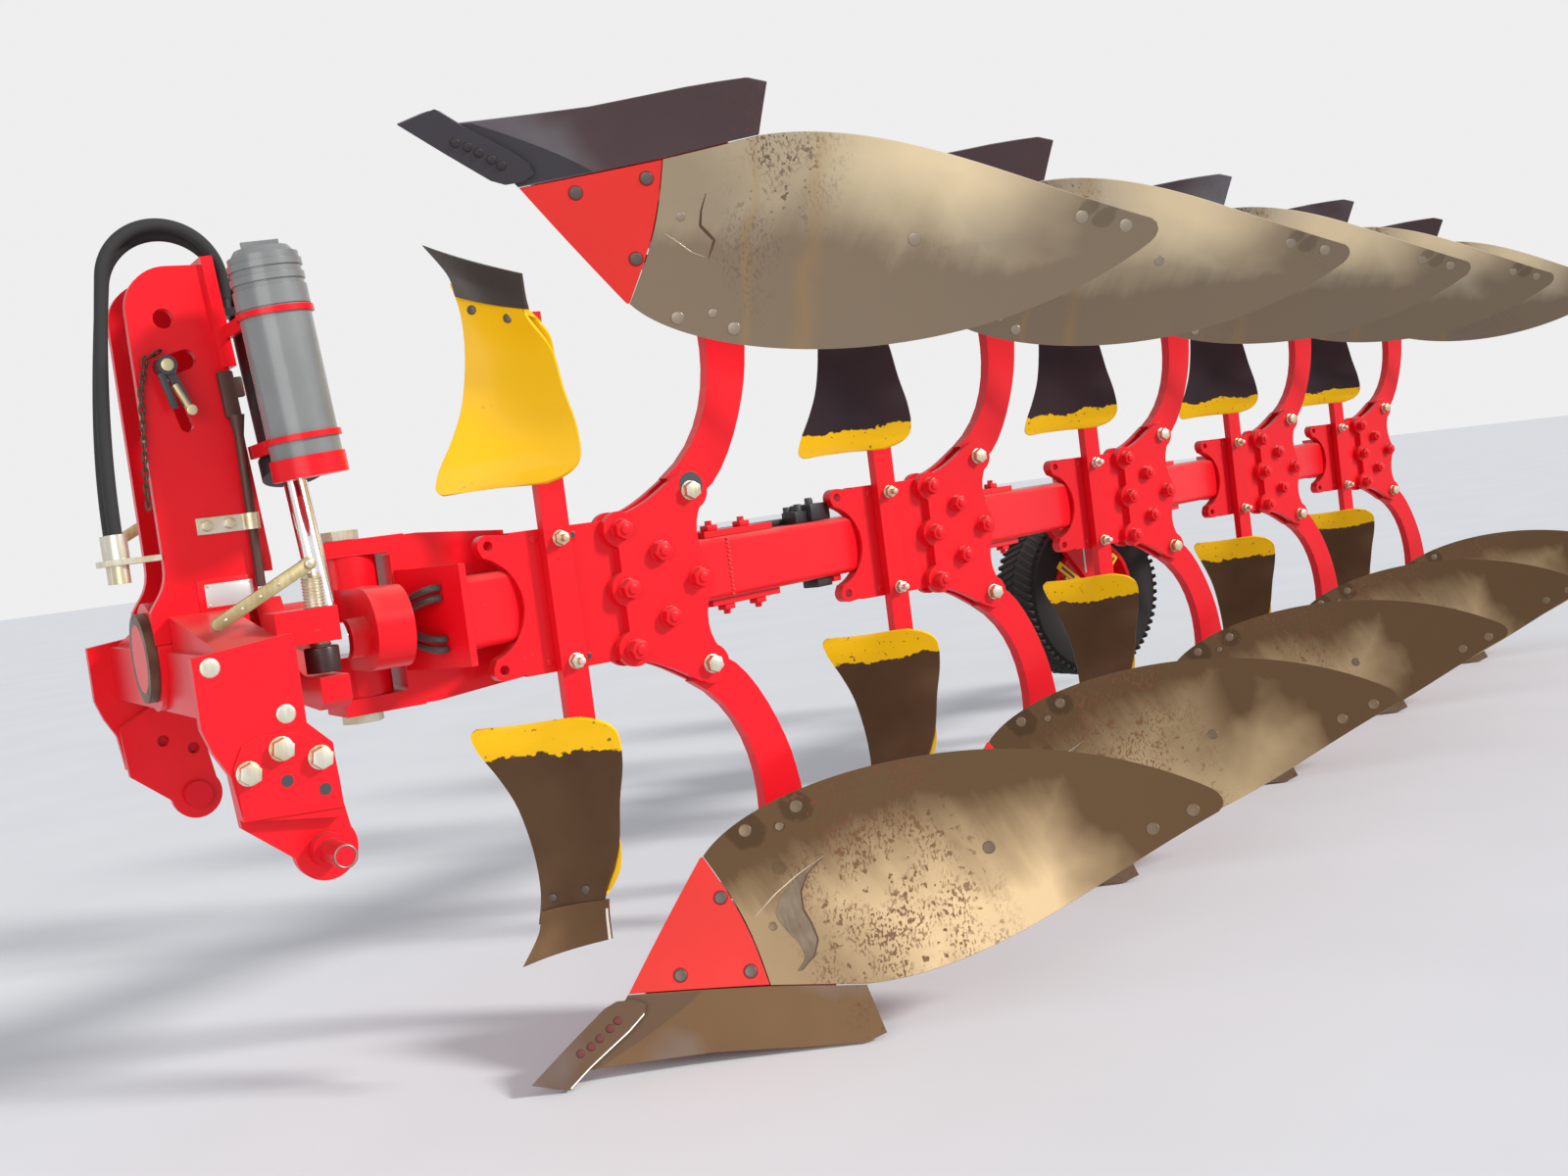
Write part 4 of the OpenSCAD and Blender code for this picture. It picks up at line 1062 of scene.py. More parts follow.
def add_sheet(
    bm: Mesh, steps: tuple[int, int], place: Callable[[float, float], Spot], thickness: float, shift: float
) -> None:
    """Adds a bent plate: a grid laid on a surface, thickened behind it and trimmed at the solids' box.

    Args:
        bm: Mesh that takes the plate.
        steps: Steps along the two ways.
        place: Gives the point, the outward direction and the pattern's place for two shares from nought to one.
        thickness: Thickness in metres.
        shift: Number added to the pattern's first coordinate, so that plates differ.
    """
    sheet = bmesh.new()
    flow, pattern = sheet.loops.layers.uv.new("flow"), sheet.loops.layers.uv.new("spot")
    bmesh.ops.create_grid(sheet, x_segments=steps[0], y_segments=steps[1], size=0.5)
    shares = {v: (v.co.x + 0.5, v.co.y + 0.5) for v in sheet.verts}
    laid = {v: place(*share) for v, share in shares.items()}
    for face in sheet.faces:
        for loop in face.loops:
            u, w = shares[loop.vert]
            loop[flow].uv = (u + shift, w)
            loop[pattern].uv = laid[loop.vert][2]
    for vert, spot in laid.items():
        vert.co = spot[0]
    centre, out, _ = place(0.5, 0.5)
    sheet.normal_update()
    middle = min(sheet.faces, key=lambda f: (f.calc_center_median() - centre).length)
    if middle.normal.dot(out) < 0:
        bmesh.ops.reverse_faces(sheet, faces=sheet.faces)
    bmesh.ops.solidify(sheet, geom=sheet.faces[:], thickness=thickness)
    for vert in sheet.verts:
        vert.co = [
            min(max(c, low + BOX_MARGIN), high - BOX_MARGIN) for c, low, high in zip(vert.co, *CAD_BOX)
        ]
    mesh = bpy.data.meshes.new("sheet")
    sheet.to_mesh(mesh)
    sheet.free()
    bm.from_mesh(mesh)
    bpy.data.meshes.remove(mesh)


@dataclass(frozen=True)
class Skin:
    """Working surface of a body: its sideways place from a throw, two slopes and three bend terms."""

    middle: float = 650.0
    throw: float = -129.6
    slope_x: float = -0.555
    slope_h: float = -0.3923
    bend_x: float = -238.9e-6
    bend_xh: float = -182.8e-6
    bend_h: float = -268.8e-6

    def y(self, x: float, h: float) -> float:
        """Finds the surface's sideways place in millimetres.

        Args:
            x: Millimetres behind the leg bolt.
            h: Millimetres below the beam's middle.

        Returns:
            The sideways place.
        """
        d = h - self.middle
        flat = self.throw + self.slope_x * x + self.slope_h * d
        return flat + self.bend_x * x * x + self.bend_xh * x * d + self.bend_h * d * d

    def out(self, x: float, h: float, upper: bool) -> Vector:
        """Finds the direction that the surface faces, towards the camera's side.

        Args:
            x: Millimetres behind the leg bolt.
            h: Millimetres below the beam's middle.
            upper: Whether the body is an upper one.

        Returns:
            Vector of length one.
        """
        d = h - self.middle
        gx = self.slope_x + 2 * self.bend_x * x + self.bend_xh * d
        gh = self.slope_h + self.bend_xh * x + 2 * self.bend_h * d
        return Vector((gx, -1.0, gh if upper else -gh)).normalized()


SKIN = Skin()
Flat = Callable[[float, float], Pair]


@dataclass
class Bodies:
    """Boards, shins, shares and points of all bodies, laid on the working surface.

    Places are distances behind the leg bolt and depths below the beam, in millimetres.
    """

    board_top: tuple = ((-92, 522), (20, 400), (480, 310), (706.5, 507.6))
    board_front_low: tuple = (-46, 762)
    board_low: tuple = ((103, 780.5), (300, 785), (500, 650), (701, 550))
    tail_middle: tuple = (689, 527)
    tail_radius: float = 26.0
    tail_share: float = 0.95
    tail_starts: Pair = (-48.0, 62.0)
    tail_end: float = 0.9
    nose_share: float = 0.14
    nose_bulge: float = 14.0
    shin_corners: tuple = ((-98, 524), (-93, 523), (-277, 740), (-48, 761))
    share_top: tuple = ((-279, 742), (-150, 754), (-48, 764), (60, 778), (102, 782.5))
    share_low: tuple = ((-378, 854), (-170, 859), (-20, 872), (70, 876), (105, 864))
    point_upper: tuple = ((-481, 856), (-406, 805), (-330, 754), (-306, 745), (-278, 747))
    point_lower: tuple = ((-422, 876), (-378, 846), (-300, 799), (-268, 775), (-260, 758))
    point_lift: float = 18.0
    board_bolts: tuple = ((-12, 487), (82, 456), (361, 572), (604, 569), (669, 543))
    front_bolts: tuple = ((-12, 663), (46, 488))
    shin_bolts: tuple = ((-83, 600), (-185, 723), (-71, 734))
    point_bolts: tuple = ((-388, 820), (-368, 812), (-350, 801), (-329, 788), (-313, 777))
    rim_low: tuple = ((98, 556), (67, 581), (49, 610), (44, 641), (50, 666), (52, 695), (38, 722), (10, 745))
    rim_high: tuple = ((26, 697), (20, 669), (20, 644), (32, 630), (44, 616), (40, 600), (36, 586))
    wear_widths: Pair = (8.0, 40.0)
    scratch_low: tuple = ((-36, 642), (6, 608), (51, 579), (104, 551))
    scratch_high: tuple = ((-39, 639), (-17, 622), (8, 600), (32, 588))
    bolt_sink: float = 0.0004
    pattern_steps: Pair = (1.37, 0.61)

    def low_edge(self, u: float) -> tuple[float, ...]:
        """Follows the board's lower edge up to the round tail.

        Args:
            u: Share of the length.

        Returns:
            Distance behind the leg bolt and depth below the beam.
        """
        if u < self.nose_share:
            return blend(self.board_front_low, self.board_low[0], u / self.nose_share)
        return curve(self.board_low, (u - self.nose_share) / (1 - self.nose_share))

    def tail_edge(self, t: float, start: float) -> Pair:
        """Follows the tail's round end to its rearmost point.

        Args:
            t: Share of the arc.
            start: Angle where it starts, in degrees.

        Returns:
            Distance behind the leg bolt and depth below the beam.
        """
        a = math.radians(start * (1 - t))
        x, h = self.tail_middle
        return x + self.tail_radius * math.cos(a), h + self.tail_radius * math.sin(a)

    def board_at(self, u: float, v: float) -> Pair:
        """Place on the board.

        Args:
            u: Share of its length.
            v: Share of its height.

        Returns:
            Distance behind the leg bolt and depth below the beam.
        """
        if u > self.tail_share:
            t = (u - self.tail_share) / (1 - self.tail_share) * self.tail_end
            top, low = (self.tail_edge(t, start) for start in self.tail_starts)
        else:
            top, low = curve(self.board_top, u / self.tail_share), self.low_edge(u / self.tail_share)
        x, h = blend(top, low, v)
        return x + self.nose_bulge * math.sin(math.pi * v) * max(0.0, 1 - 4 * u), h

    def shin_at(self, u: float, v: float) -> Pair:
        """Place on the shin.

        Args:
            u: Share of its length.
            v: Share of its height.

        Returns:
            Distance behind the leg bolt and depth below the beam.
        """
        a, b, c, d = self.shin_corners
        x, h = blend(blend(a, b, u), blend(c, d, u), v)
        return x + (self.nose_bulge - 1) * math.sin(math.pi * v) * u, h

    @staticmethod
    def between(top: Sequence[Sequence[float]], low: Sequence[Sequence[float]], u: float, v: float) -> Pair:
        """Place at shares u along and v across two edges of as many points each."""
        i, t = step_of(len(top) - 1, u)
        return blend(blend(top[i], top[i + 1], t), blend(low[i], low[i + 1], t), v)

    def share_at(self, u: float, v: float) -> Pair:
        """Place on the share."""
        return self.between(self.share_top, self.share_low, u, v)

    def share_root(self, u: float, v: float) -> Pair:
        """Place on the darker strip of the share beside the chisel point."""
        return self.share_at(mix(0.0, 0.235, u) * mix(1.0, 0.1, v), mix(0.02, 0.98, v))

    def point_at(self, u: float, v: float) -> Pair:
        """Place on the chisel point."""
        return self.between(self.point_upper, self.point_lower, u, v)

    def point_rim(self, u: float, v: float) -> Pair:
        """Place on the chisel point's fresh lower rim."""
        return self.point_at(mix(0.02, 0.78, u), mix(0.955, 1.0, v))

    def wear_at(self, u: float, v: float) -> Pair:
        """Place on the bare patch beside the lower shin, whose rear rim is the worn-through step.

        Args:
            u: Share of its length.
            v: Share of its height.

        Returns:
            Distance behind the leg bolt and depth below the beam.
        """
        i, t = step_of(len(self.rim_low) - 1, v)
        x, h = blend(self.rim_low[i], self.rim_low[i + 1], t)
        least, more = self.wear_widths
        return x - (least + more * math.sin(math.pi * v) ** 2) * (1 - u), h

    @staticmethod
    def ribbon(way: Sequence[Sequence[float]], width: float) -> Flat:
        """Place function of a thin line along the surface, tapered at both ends.

        Args:
            way: Places that the line passes.
            width: Its width at the middle in millimetres.

        Returns:
            The place function.
        """
        def flat(u: float, v: float) -> Pair:
            """Finds a place on the line.

            Args:
                u: Share of the way.
                v: Share of the width.

            Returns:
                Distance behind the leg bolt and depth below the beam.
            """
            i, t = step_of(len(way) - 1, u)
            a, b = way[i], way[i + 1]
            length = math.hypot(b[0] - a[0], b[1] - a[1])
            half = width * (v - 0.5) * (0.25 + 0.75 * math.sin(math.pi * u))
            x, h = blend(a, b, t)
            return x + (a[1] - b[1]) / length * half, h + (b[0] - a[0]) / length * half
        return flat

    def plates(
        self, name: str, place: Flat, steps: tuple[int, int], thickness: float, finish: Finish,
        side: Side = Side.BOTH, solids: Sequence[str] = (), lift: float = 0.0,
    ) -> None:
        """Lays one kind of plate on a set of bodies.

        Args:
            name: Name of the piece.
            place: Gives a place on the plate for two shares.
            steps: Steps along and across it.
            thickness: Thickness in metres.
            finish: Finish of its surface.
            side: Bodies that have it.
            solids: Solids that it stands for.
            lift: Millimetres that it is lifted from the working surface.
        """
        bm = bmesh.new()
        for k, upper in side.bodies():
            def spot(u: float, v: float, k: int = k, upper: bool = upper) -> Spot:
                """Point, outward direction and pattern's place on this body."""
                x, h = place(u, v)
                point = on_body(k, upper, x, SKIN.y(x, h) - lift, h)
                return point, SKIN.out(x, h, upper), (mm(x), mm(h))
            add_sheet(bm, steps, spot, thickness, k * self.pattern_steps[0] + upper * self.pattern_steps[1])
        hand_over(name, bm, finish, Body.PLOUGH, solids, SHEET_ANGLE)

    def bolts(
        self, name: str, places: Sequence[Sequence[float]], finish: Finish, radius: float, height: float,
        side: Side = Side.BOTH, lift: float = 0.0,
    ) -> None:
        """Sets one kind of low bolt head on a set of bodies.

        Args:
            name: Name of the piece.
            places: Places of the heads.
            finish: Finish of the heads.
            radius: Radius of a head in millimetres.
            height: Height of a head in millimetres.
            side: Bodies that have them.
            lift: Millimetres that they are lifted from the working surface.
        """
        bolts = Fasteners(name, finish, Body.PLOUGH)
        for k, upper in side.bodies():
            for x, h in places:
                out = SKIN.out(x, h, upper)
                foot = on_body(k, upper, x, SKIN.y(x, h) - lift, h) - out * self.bolt_sink
                bolts.dome_bolt(foot, out, radius, height)
        bolts.close()

    def build(self) -> None:
        """Makes the plates, wear marks, dark step rims with their painted shadow, and bolts."""
        low, high, plates, raised = Side.LOWER, Side.UPPER, self.plates, self.point_lift
        plates("boards_low", self.board_at, (44, 22), 0.008, LOW_BOARD, low, ["boards"])
        plates("boards_high", self.board_at, (44, 22), 0.008, HIGH_BOARD, high, ["boards"])
        plates("shin_plates", self.shin_at, (12, 14), 0.008, SHIN_PAINT, Side.BOTH, ["shins"], 0.6)
        plates("shares_low", self.share_at, (24, 6), 0.009, SHARE_LOW, low, ["shares"])
        plates("shares_high", self.share_at, (24, 6), 0.009, SHARE_HIGH, high, ["shares"])
        for tag, side, steel in (("low", low, POINT_LOW), ("high", high, POINT_HIGH)):
            plates(f"share_roots_{tag}", self.share_root, (8, 8), 0.001, steel, side, lift=0.6)
            plates(f"chisel_points_{tag}", self.point_at, (20, 6), 0.017, steel, side, ["shares"], raised)
        plates("point_rims", self.point_rim, (20, 2), 0.002, FRESH_STEEL, low, lift=raised + 0.4)
        plates("wear_patches", self.wear_at, (8, 24), 0.0005, WEAR_STEEL, low, lift=0.35)
        # Dark strip along each worn step, wider on the upper bodies, where it is painted shadow, and a thin
        # scratch beside it.
        for tag, side, rim, width, scratch in (
            ("low", low, self.rim_low, 3.5, self.scratch_low),
            ("high", high, self.rim_high, 5.0, self.scratch_high),
        ):
            step, line = self.ribbon(rim, width), self.ribbon(scratch, 2.2)
            plates(f"step_rims_and_shadows_{tag}", step, (36, 2), 0.0006, RUST_AND_SHADOW_EDGE, side, lift=0.5)
            plates(f"wear_scratches_{tag}", line, (14, 2), 0.0005, SCRATCH_STEEL, side, lift=0.4)
        self.bolts("board_bolts_low", self.board_bolts, LOW_BOLT, 13.0, 1.2, low)
        self.bolts("board_bolts_high", self.board_bolts, BOLT_STEEL, 13.0, 1.4, high)
        self.bolts("front_bolts_low", self.front_bolts, LOW_BOLT, 9.0, 0.8, low)
        self.bolts("front_bolts_high", self.front_bolts, BOLT_STEEL, 9.0, 1.0, high)
        self.bolts("shin_bolt_seats", self.shin_bolts, SEAT_RED, 15.0, 0.8, lift=0.6)
        self.bolts("shin_bolts", self.shin_bolts, SHIN_BOLT, 12.0, 1.4, lift=0.8)
        self.bolts("point_bolts_low", self.point_bolts, RUST_BOLT, 8.0, 3.0, low, raised)
        self.bolts("point_bolts_high", self.point_bolts, DARK_BOLT, 9.0, 3.0, high, raised)


@dataclass
class Skimmers:
    """Skimmer boards and blades.

    A row is a depth with the distances and the sideways places of the front and rear edge there, in
    millimetres. A skew is the depth where the rear edge starts to rise, and its rise over depth.
    """

    rows: tuple = (
        (212, -480, -330, 23, -88), (221, -489, -303, 30, -109), (238, -486, -280, 30, -120),
        (262, -475, -272, 30, -122), (310, -445, -271, 32, -114), (370, -417, -281, 34, -104),
        (455, -399, -288, 34, -88), (530, -398, -316, 30, -78), (585, -411, -326, 28, -70),
    )
    back_rows: tuple = (
        (438, -294, -280, -70, -84), (470, -300, -281, -66, -84), (500, -311, -288, -61, -83),
        (534, -324, -303, -57, -76), (550, -328, -317, -55, -66),
    )
    joint: tuple = ((560, -409, -319, 28, -72), (600, -417, -321, 32, -70), (655, -451, -323, 44, -74))
    hollow: float = 14.0
    bolt_shares: tuple = ((0.22, 0.9), (0.74, 0.885))
    bolt_out: Point = (-0.72, -0.69, 0.0)
    nut_at: Point = (-312.0, -58.0, 525.0)
    nut_out: Point = (0.69, 0.72, 0.0)
    skew: Pair = (494.0, 0.25)
    skew_first: Pair = (432.0, 0.34)
    facing: Point = (-0.55, -1.0, 0.0)
    pattern_step: float = 1.7

    @staticmethod
    def row_at(rows: Sequence[Sequence[float]], v: float) -> list[float]:
        """Finds a row of the shape on a smooth curve through all rows.

        Args:
            rows: Rows of the shape.
            v: Share of its depth.

        Returns:
            The row's five values.
        """
        n = len(rows) - 1
        i, t = step_of(n, v)
        p, a, b, q = rows[max(i - 1, 0)], rows[i], rows[i + 1], rows[min(i + 2, n)]
        return [
            0.5 * (
                2 * a[c] + (b[c] - p[c]) * t + (2 * p[c] - 5 * a[c] + 4 * b[c] - q[c]) * t * t
                + (3 * a[c] - p[c] - 3 * b[c] + q[c]) * t**3
            )
            for c in range(5)
        ]

    def spot_at(
        self, rows: Sequence[Sequence[float]], body: tuple[int, bool], u: float, v: float, hollow: float
    ) -> tuple[float, float, float, float]:
        """Finds a place on a skimmer's sheet.

        Args:
            rows: Rows of its shape.
            body: Number and side of the body.
            u: Share across, from front to rear.
            v: Share down.
            hollow: Depth of its bend in millimetres.

        Returns:
            Distance, sideways place, depth, and depth before the rear edge's rise.
        """
        h, front, rear, front_y, rear_y = self.row_at(rows, v)
        start, slope = self.skew_first if body == (0, True) else self.skew
        y = mix(front_y, rear_y, u) + hollow * math.sin(math.pi * u)
        return mix(front, rear, u), y, h - slope * max(0.0, h - start) * u, h

    def sheets(
        self, name: str, rows: Sequence[Sequence[float]], finish: Finish, which: Sequence[tuple[int, bool]],
        solids: Sequence[str] = (), back: float = 0.0, part: Point = (0.0, 1.0, 0.0), columns: int = 10,
        thickness: float = 0.007, bent: bool = True,
    ) -> None:
        """Lays one kind of skimmer plate on the named bodies.

        Args:
            name: Name of the piece.
            rows: Rows of its shape.
            finish: Finish of its surface.
            which: Numbers and sides of the bodies.
            solids: Solids that it stands for.
            back: Millimetres behind the rows' places.
            part: Shares across between which it is laid, and the share down where it starts.
            columns: Steps across it.
            thickness: Thickness in metres.
            bent: Whether it has the skimmer's bend.
        """
        bm = bmesh.new()
        for k, upper in which:
            def spot(u: float, v: float, k: int = k, upper: bool = upper) -> Spot:
                """Point, outward direction and pattern's place on this body."""
                x, y, h, level = self.spot_at(
                    rows, (k, upper), mix(part[0], part[1], u), mix(part[2], 1.0, v), self.hollow * bent
                )
                return on_body(k, upper, x, y + back, h), Vector(self.facing), (mm(x), mm(level))
            add_sheet(bm, (columns, 32), spot, thickness, k * self.pattern_step)
        hand_over(name, bm, finish, Body.PLOUGH, solids, SHEET_ANGLE)

    def build(self) -> None:
        """Makes the skimmers in their three coats, with their bolts and nuts."""
        lower, first = Side.LOWER.bodies(), [(0, True)]
        upper = [(k, True) for k in range(1, BODY_COUNT)]
        for name, finish, which in (
            ("skimmers_low", SKIM_BROWN, lower), ("skimmers_high", SKIM_DARK, upper),
            ("skimmer_first", YELLOW_PAINT, first),
        ):
            self.sheets(name, self.rows, finish, which, ["skimmer_boards"])
        for name, finish, which in (
            ("skimmer_tips_low", TIP_BROWN, lower), ("skimmer_tips_high", TIP_DARK, first + upper)
        ):
            self.sheets(name, self.joint, finish, which, ["skimmer_blades"], -12.0)
        self.sheets(
            "skimmer_edges", self.joint, FRESH_STEEL, lower, back=-12.6, part=(0.972, 1.0, 0.3), columns=2,
            thickness=0.001,
        )
        self.sheets(
            "skimmer_backs", self.back_rows, YELLOW_PAINT, lower + first + upper, thickness=0.005, bent=False
        )
        bolts = Fasteners("skimmer_bolts", SHIN_BOLT, Body.PLOUGH)
        nuts = Fasteners("skimmer_back_nuts", RED_PAINT, Body.PLOUGH)
        for body in lower + upper + first:
            for u, v in self.bolt_shares:
                x, y, h, _ = self.spot_at(self.rows, body, u, v, self.hollow)
                bolts.dome_bolt(on_body(*body, x, y - 0.3, h), Vector(self.bolt_out), 9.0, 1.6)
            nuts.hex_bolt(on_body(*body, *self.nut_at), Vector(self.nut_out), 12, washer=False)
        bolts.close()
        nuts.close()


@dataclass
class Consoles:
    """Bolts of the consoles, leg plates and stalks."""

    plate_bolts: tuple = ((-162, 110), (-162, -2), (-162, -116), (-87, 60), (-84, -65), (-12, 0))
    leg_bolts: tuple = ((-7, 167), (-7, -167))
    stalk_bolts: tuple = ((-290, 110), (-291, -115))
    near_y: float = -16.0
    far_y: float = 46.0
    stalk_y: float = -26.0
    bare_spot: Pair = (-3.0, 177.0)
    plug_x: float = -331.0
    hole_x: float = -253.0
    plug_heights: Pair = (112.0, -113.0)

    def bolts(self) -> None:
        """Adds six-sided heads in front and nuts behind."""
        heads = Fasteners("console_bolts", RED_PAINT, Body.PLOUGH)
        plain = Fasteners("stalk_bolts", ZINC, Body.PLOUGH)
        for bolts, places, y, way, across, stud, turn in (
            (heads, self.plate_bolts, self.near_y, NEAR, 34, 5.0, 13.0),
            (heads, self.plate_bolts, self.far_y, FAR, 36, 8.0, 17.0),
            (plain, self.leg_bolts, self.near_y, NEAR, 30, 0.0, 11.0),
            (plain, self.leg_bolts, self.far_y, FAR, 30, 6.0, 0.0),
            (plain, self.stalk_bolts, self.stalk_y, NEAR, 24, 16.0, 21.0),
        ):
            for k in range(BODY_COUNT):
                for i, (x, z) in enumerate(places):
                    bolts.hex_bolt(beside(k, x, y, z), way, across, stud=stud, turn=turn * i)
        heads.close()
        plain.close()

    def build(self) -> None:
        """Adds the bare spot, the bolts, and the plugs and holes of the stalks, each hole a dark disc of painted
        shade.
        """
        bare = Fasteners("console_bare_spot", DARK_METAL, Body.PLOUGH)
        bare.cylinder(at(self.bare_spot[0], self.near_y + 0.1, self.bare_spot[1]), NEAR, 25, 0.5, 24)
        bare.close()
        self.bolts()
        plugs = Fasteners("console_plugs", RED_PAINT, Body.PLOUGH)
        hole_shades = Fasteners("console_hole_shades", DARK_METAL, Body.PLOUGH)
        for k in range(BODY_COUNT):
            for z in self.plug_heights:
                plugs.dome_bolt(beside(k, self.plug_x, 0, z), NEAR, 7.5, 2.5)
                plugs.cylinder(beside(k, self.hole_x, 0, z), NEAR, 8.0, 0.8, chamfer=0.3)
                # Dark disc of painted shade for the hole's depth.
                hole_shades.cylinder(beside(k, self.hole_x, -0.3, z), NEAR, 5.5, 0.7)
        plugs.close()
        hole_shades.close()


@dataclass
class BeamFittings:
    """Clamp blocks, weld beads and bolts along the beam."""

    strip_top: float = 79.4
    blocks: tuple = ((634, 1), (744, 1), (660, -1), (770, -1))
    block_out: float = -34.0
    block_size: Point = (34.0, 22.0, 12.0)
    bead_at: float = 647.0
    bead_sway: float = 1.2
    bead_heights: range = range(-58, 60, 9)
    screws: tuple = ((336, 58), (520, -20))

    def build(self) -> None:
        """Makes the blocks, their screws and the beads."""
        turn = Matrix.Rotation(SLANT, 4, "Z")
        near = Vector((math.sin(SLANT), -math.cos(SLANT), 0))
        blocks, beads = bmesh.new(), bmesh.new()
        screws = Fasteners("strip_screws", RED_PAINT, Body.PLOUGH)
        tall = self.block_size[2]
        for k in range(BODY_COUNT):
            for along, side in self.blocks:
                middle = on_beam(along, self.block_out, side * (self.strip_top + tall / 2), k)
                add_block(blocks, middle, self.block_size, turn, 2.0)
                end = on_beam(along, self.block_out, side * (self.strip_top + tall), k)
                screws.hex_bolt(end, Vector((0, 0, side)), 13)
            for z in self.bead_heights:
                spot = on_beam(self.bead_at + self.bead_sway * math.sin(z), 0.6, z, k)
                add_ring(beads, spot, UP, 2.2, 2.0, 8, 6)
            for along, z in self.screws:
                screws.dome_bolt(on_beam(along, 0, z, k), near, 4.5, 1.5)
        hand_over("strip_blocks", blocks, RED_PAINT, Body.PLOUGH)
        hand_over("beam_weld_beads", beads, WELD_RED, Body.PLOUGH)
        screws.close()


@dataclass
class BeamValve:
    """Valve block with its pipes on the beam's top, and the small blocks under it.

    Blocks and fittings lie at a distance from the valve along the beam, out from its near face, and
    above or below its top or underside.
    """

    along: float = 1040.0
    top_z: float = 65.0
    blocks: tuple = ((0, -62, 21, (74, 62, 40), 3.0), (-62, -62, 14, (44, 40, 28), 2.0))
    under_blocks: tuple = ((-34, -40, 10, (56, 44, 20)), (16, -34, 7, (30, 32, 14)))
    fittings: tuple = ((-20, -48, 39, 16), (18, -74, 39, 12), (-60, -52, 26, 18), (-72, -74, 26, 14))
    pipes: tuple = ((-88.0, 390.0, 980.0), (-108.0, 390.0, 990.0))
    pipe_radius: float = 7.5

    def build(self) -> None:
        """Makes the valve, its fittings, pipes and the blocks under the beam."""
        turn = Matrix.Rotation(SLANT, 4, "Z")
        block, red = bmesh.new(), bmesh.new()
        for step, out, z, size, width in self.blocks:
            add_block(block, on_beam(self.along + step, out, self.top_z + z), size, turn, width)
        for bm, (step, out, z, size) in zip((block, red), self.under_blocks):
            add_block(bm, on_beam(self.along + step, out, -self.top_z - z), size, turn, 2.0)
        hand_over("beam_valve", block, BLACK_PAINT, Body.PLOUGH)
        hand_over("beam_lug", red, RED_PAINT, Body.PLOUGH)
        fittings = Fasteners("valve_fittings", DARK_METAL, Body.PLOUGH)
        for step, out, z, tall in self.fittings:
            spot = on_beam(self.along + step, out, self.top_z + z)
            fittings.cylinder(spot, UP, 9.0, tall, 16, 1.5)
        ahead = Vector((math.cos(SLANT), math.sin(SLANT), 0))
        for out, start, end in self.pipes:
            foot = on_beam(start, out, self.top_z + self.pipe_radius + 0.5)
            fittings.cylinder(foot, ahead, self.pipe_radius, end - start, 16, 1.0)
        fittings.close()


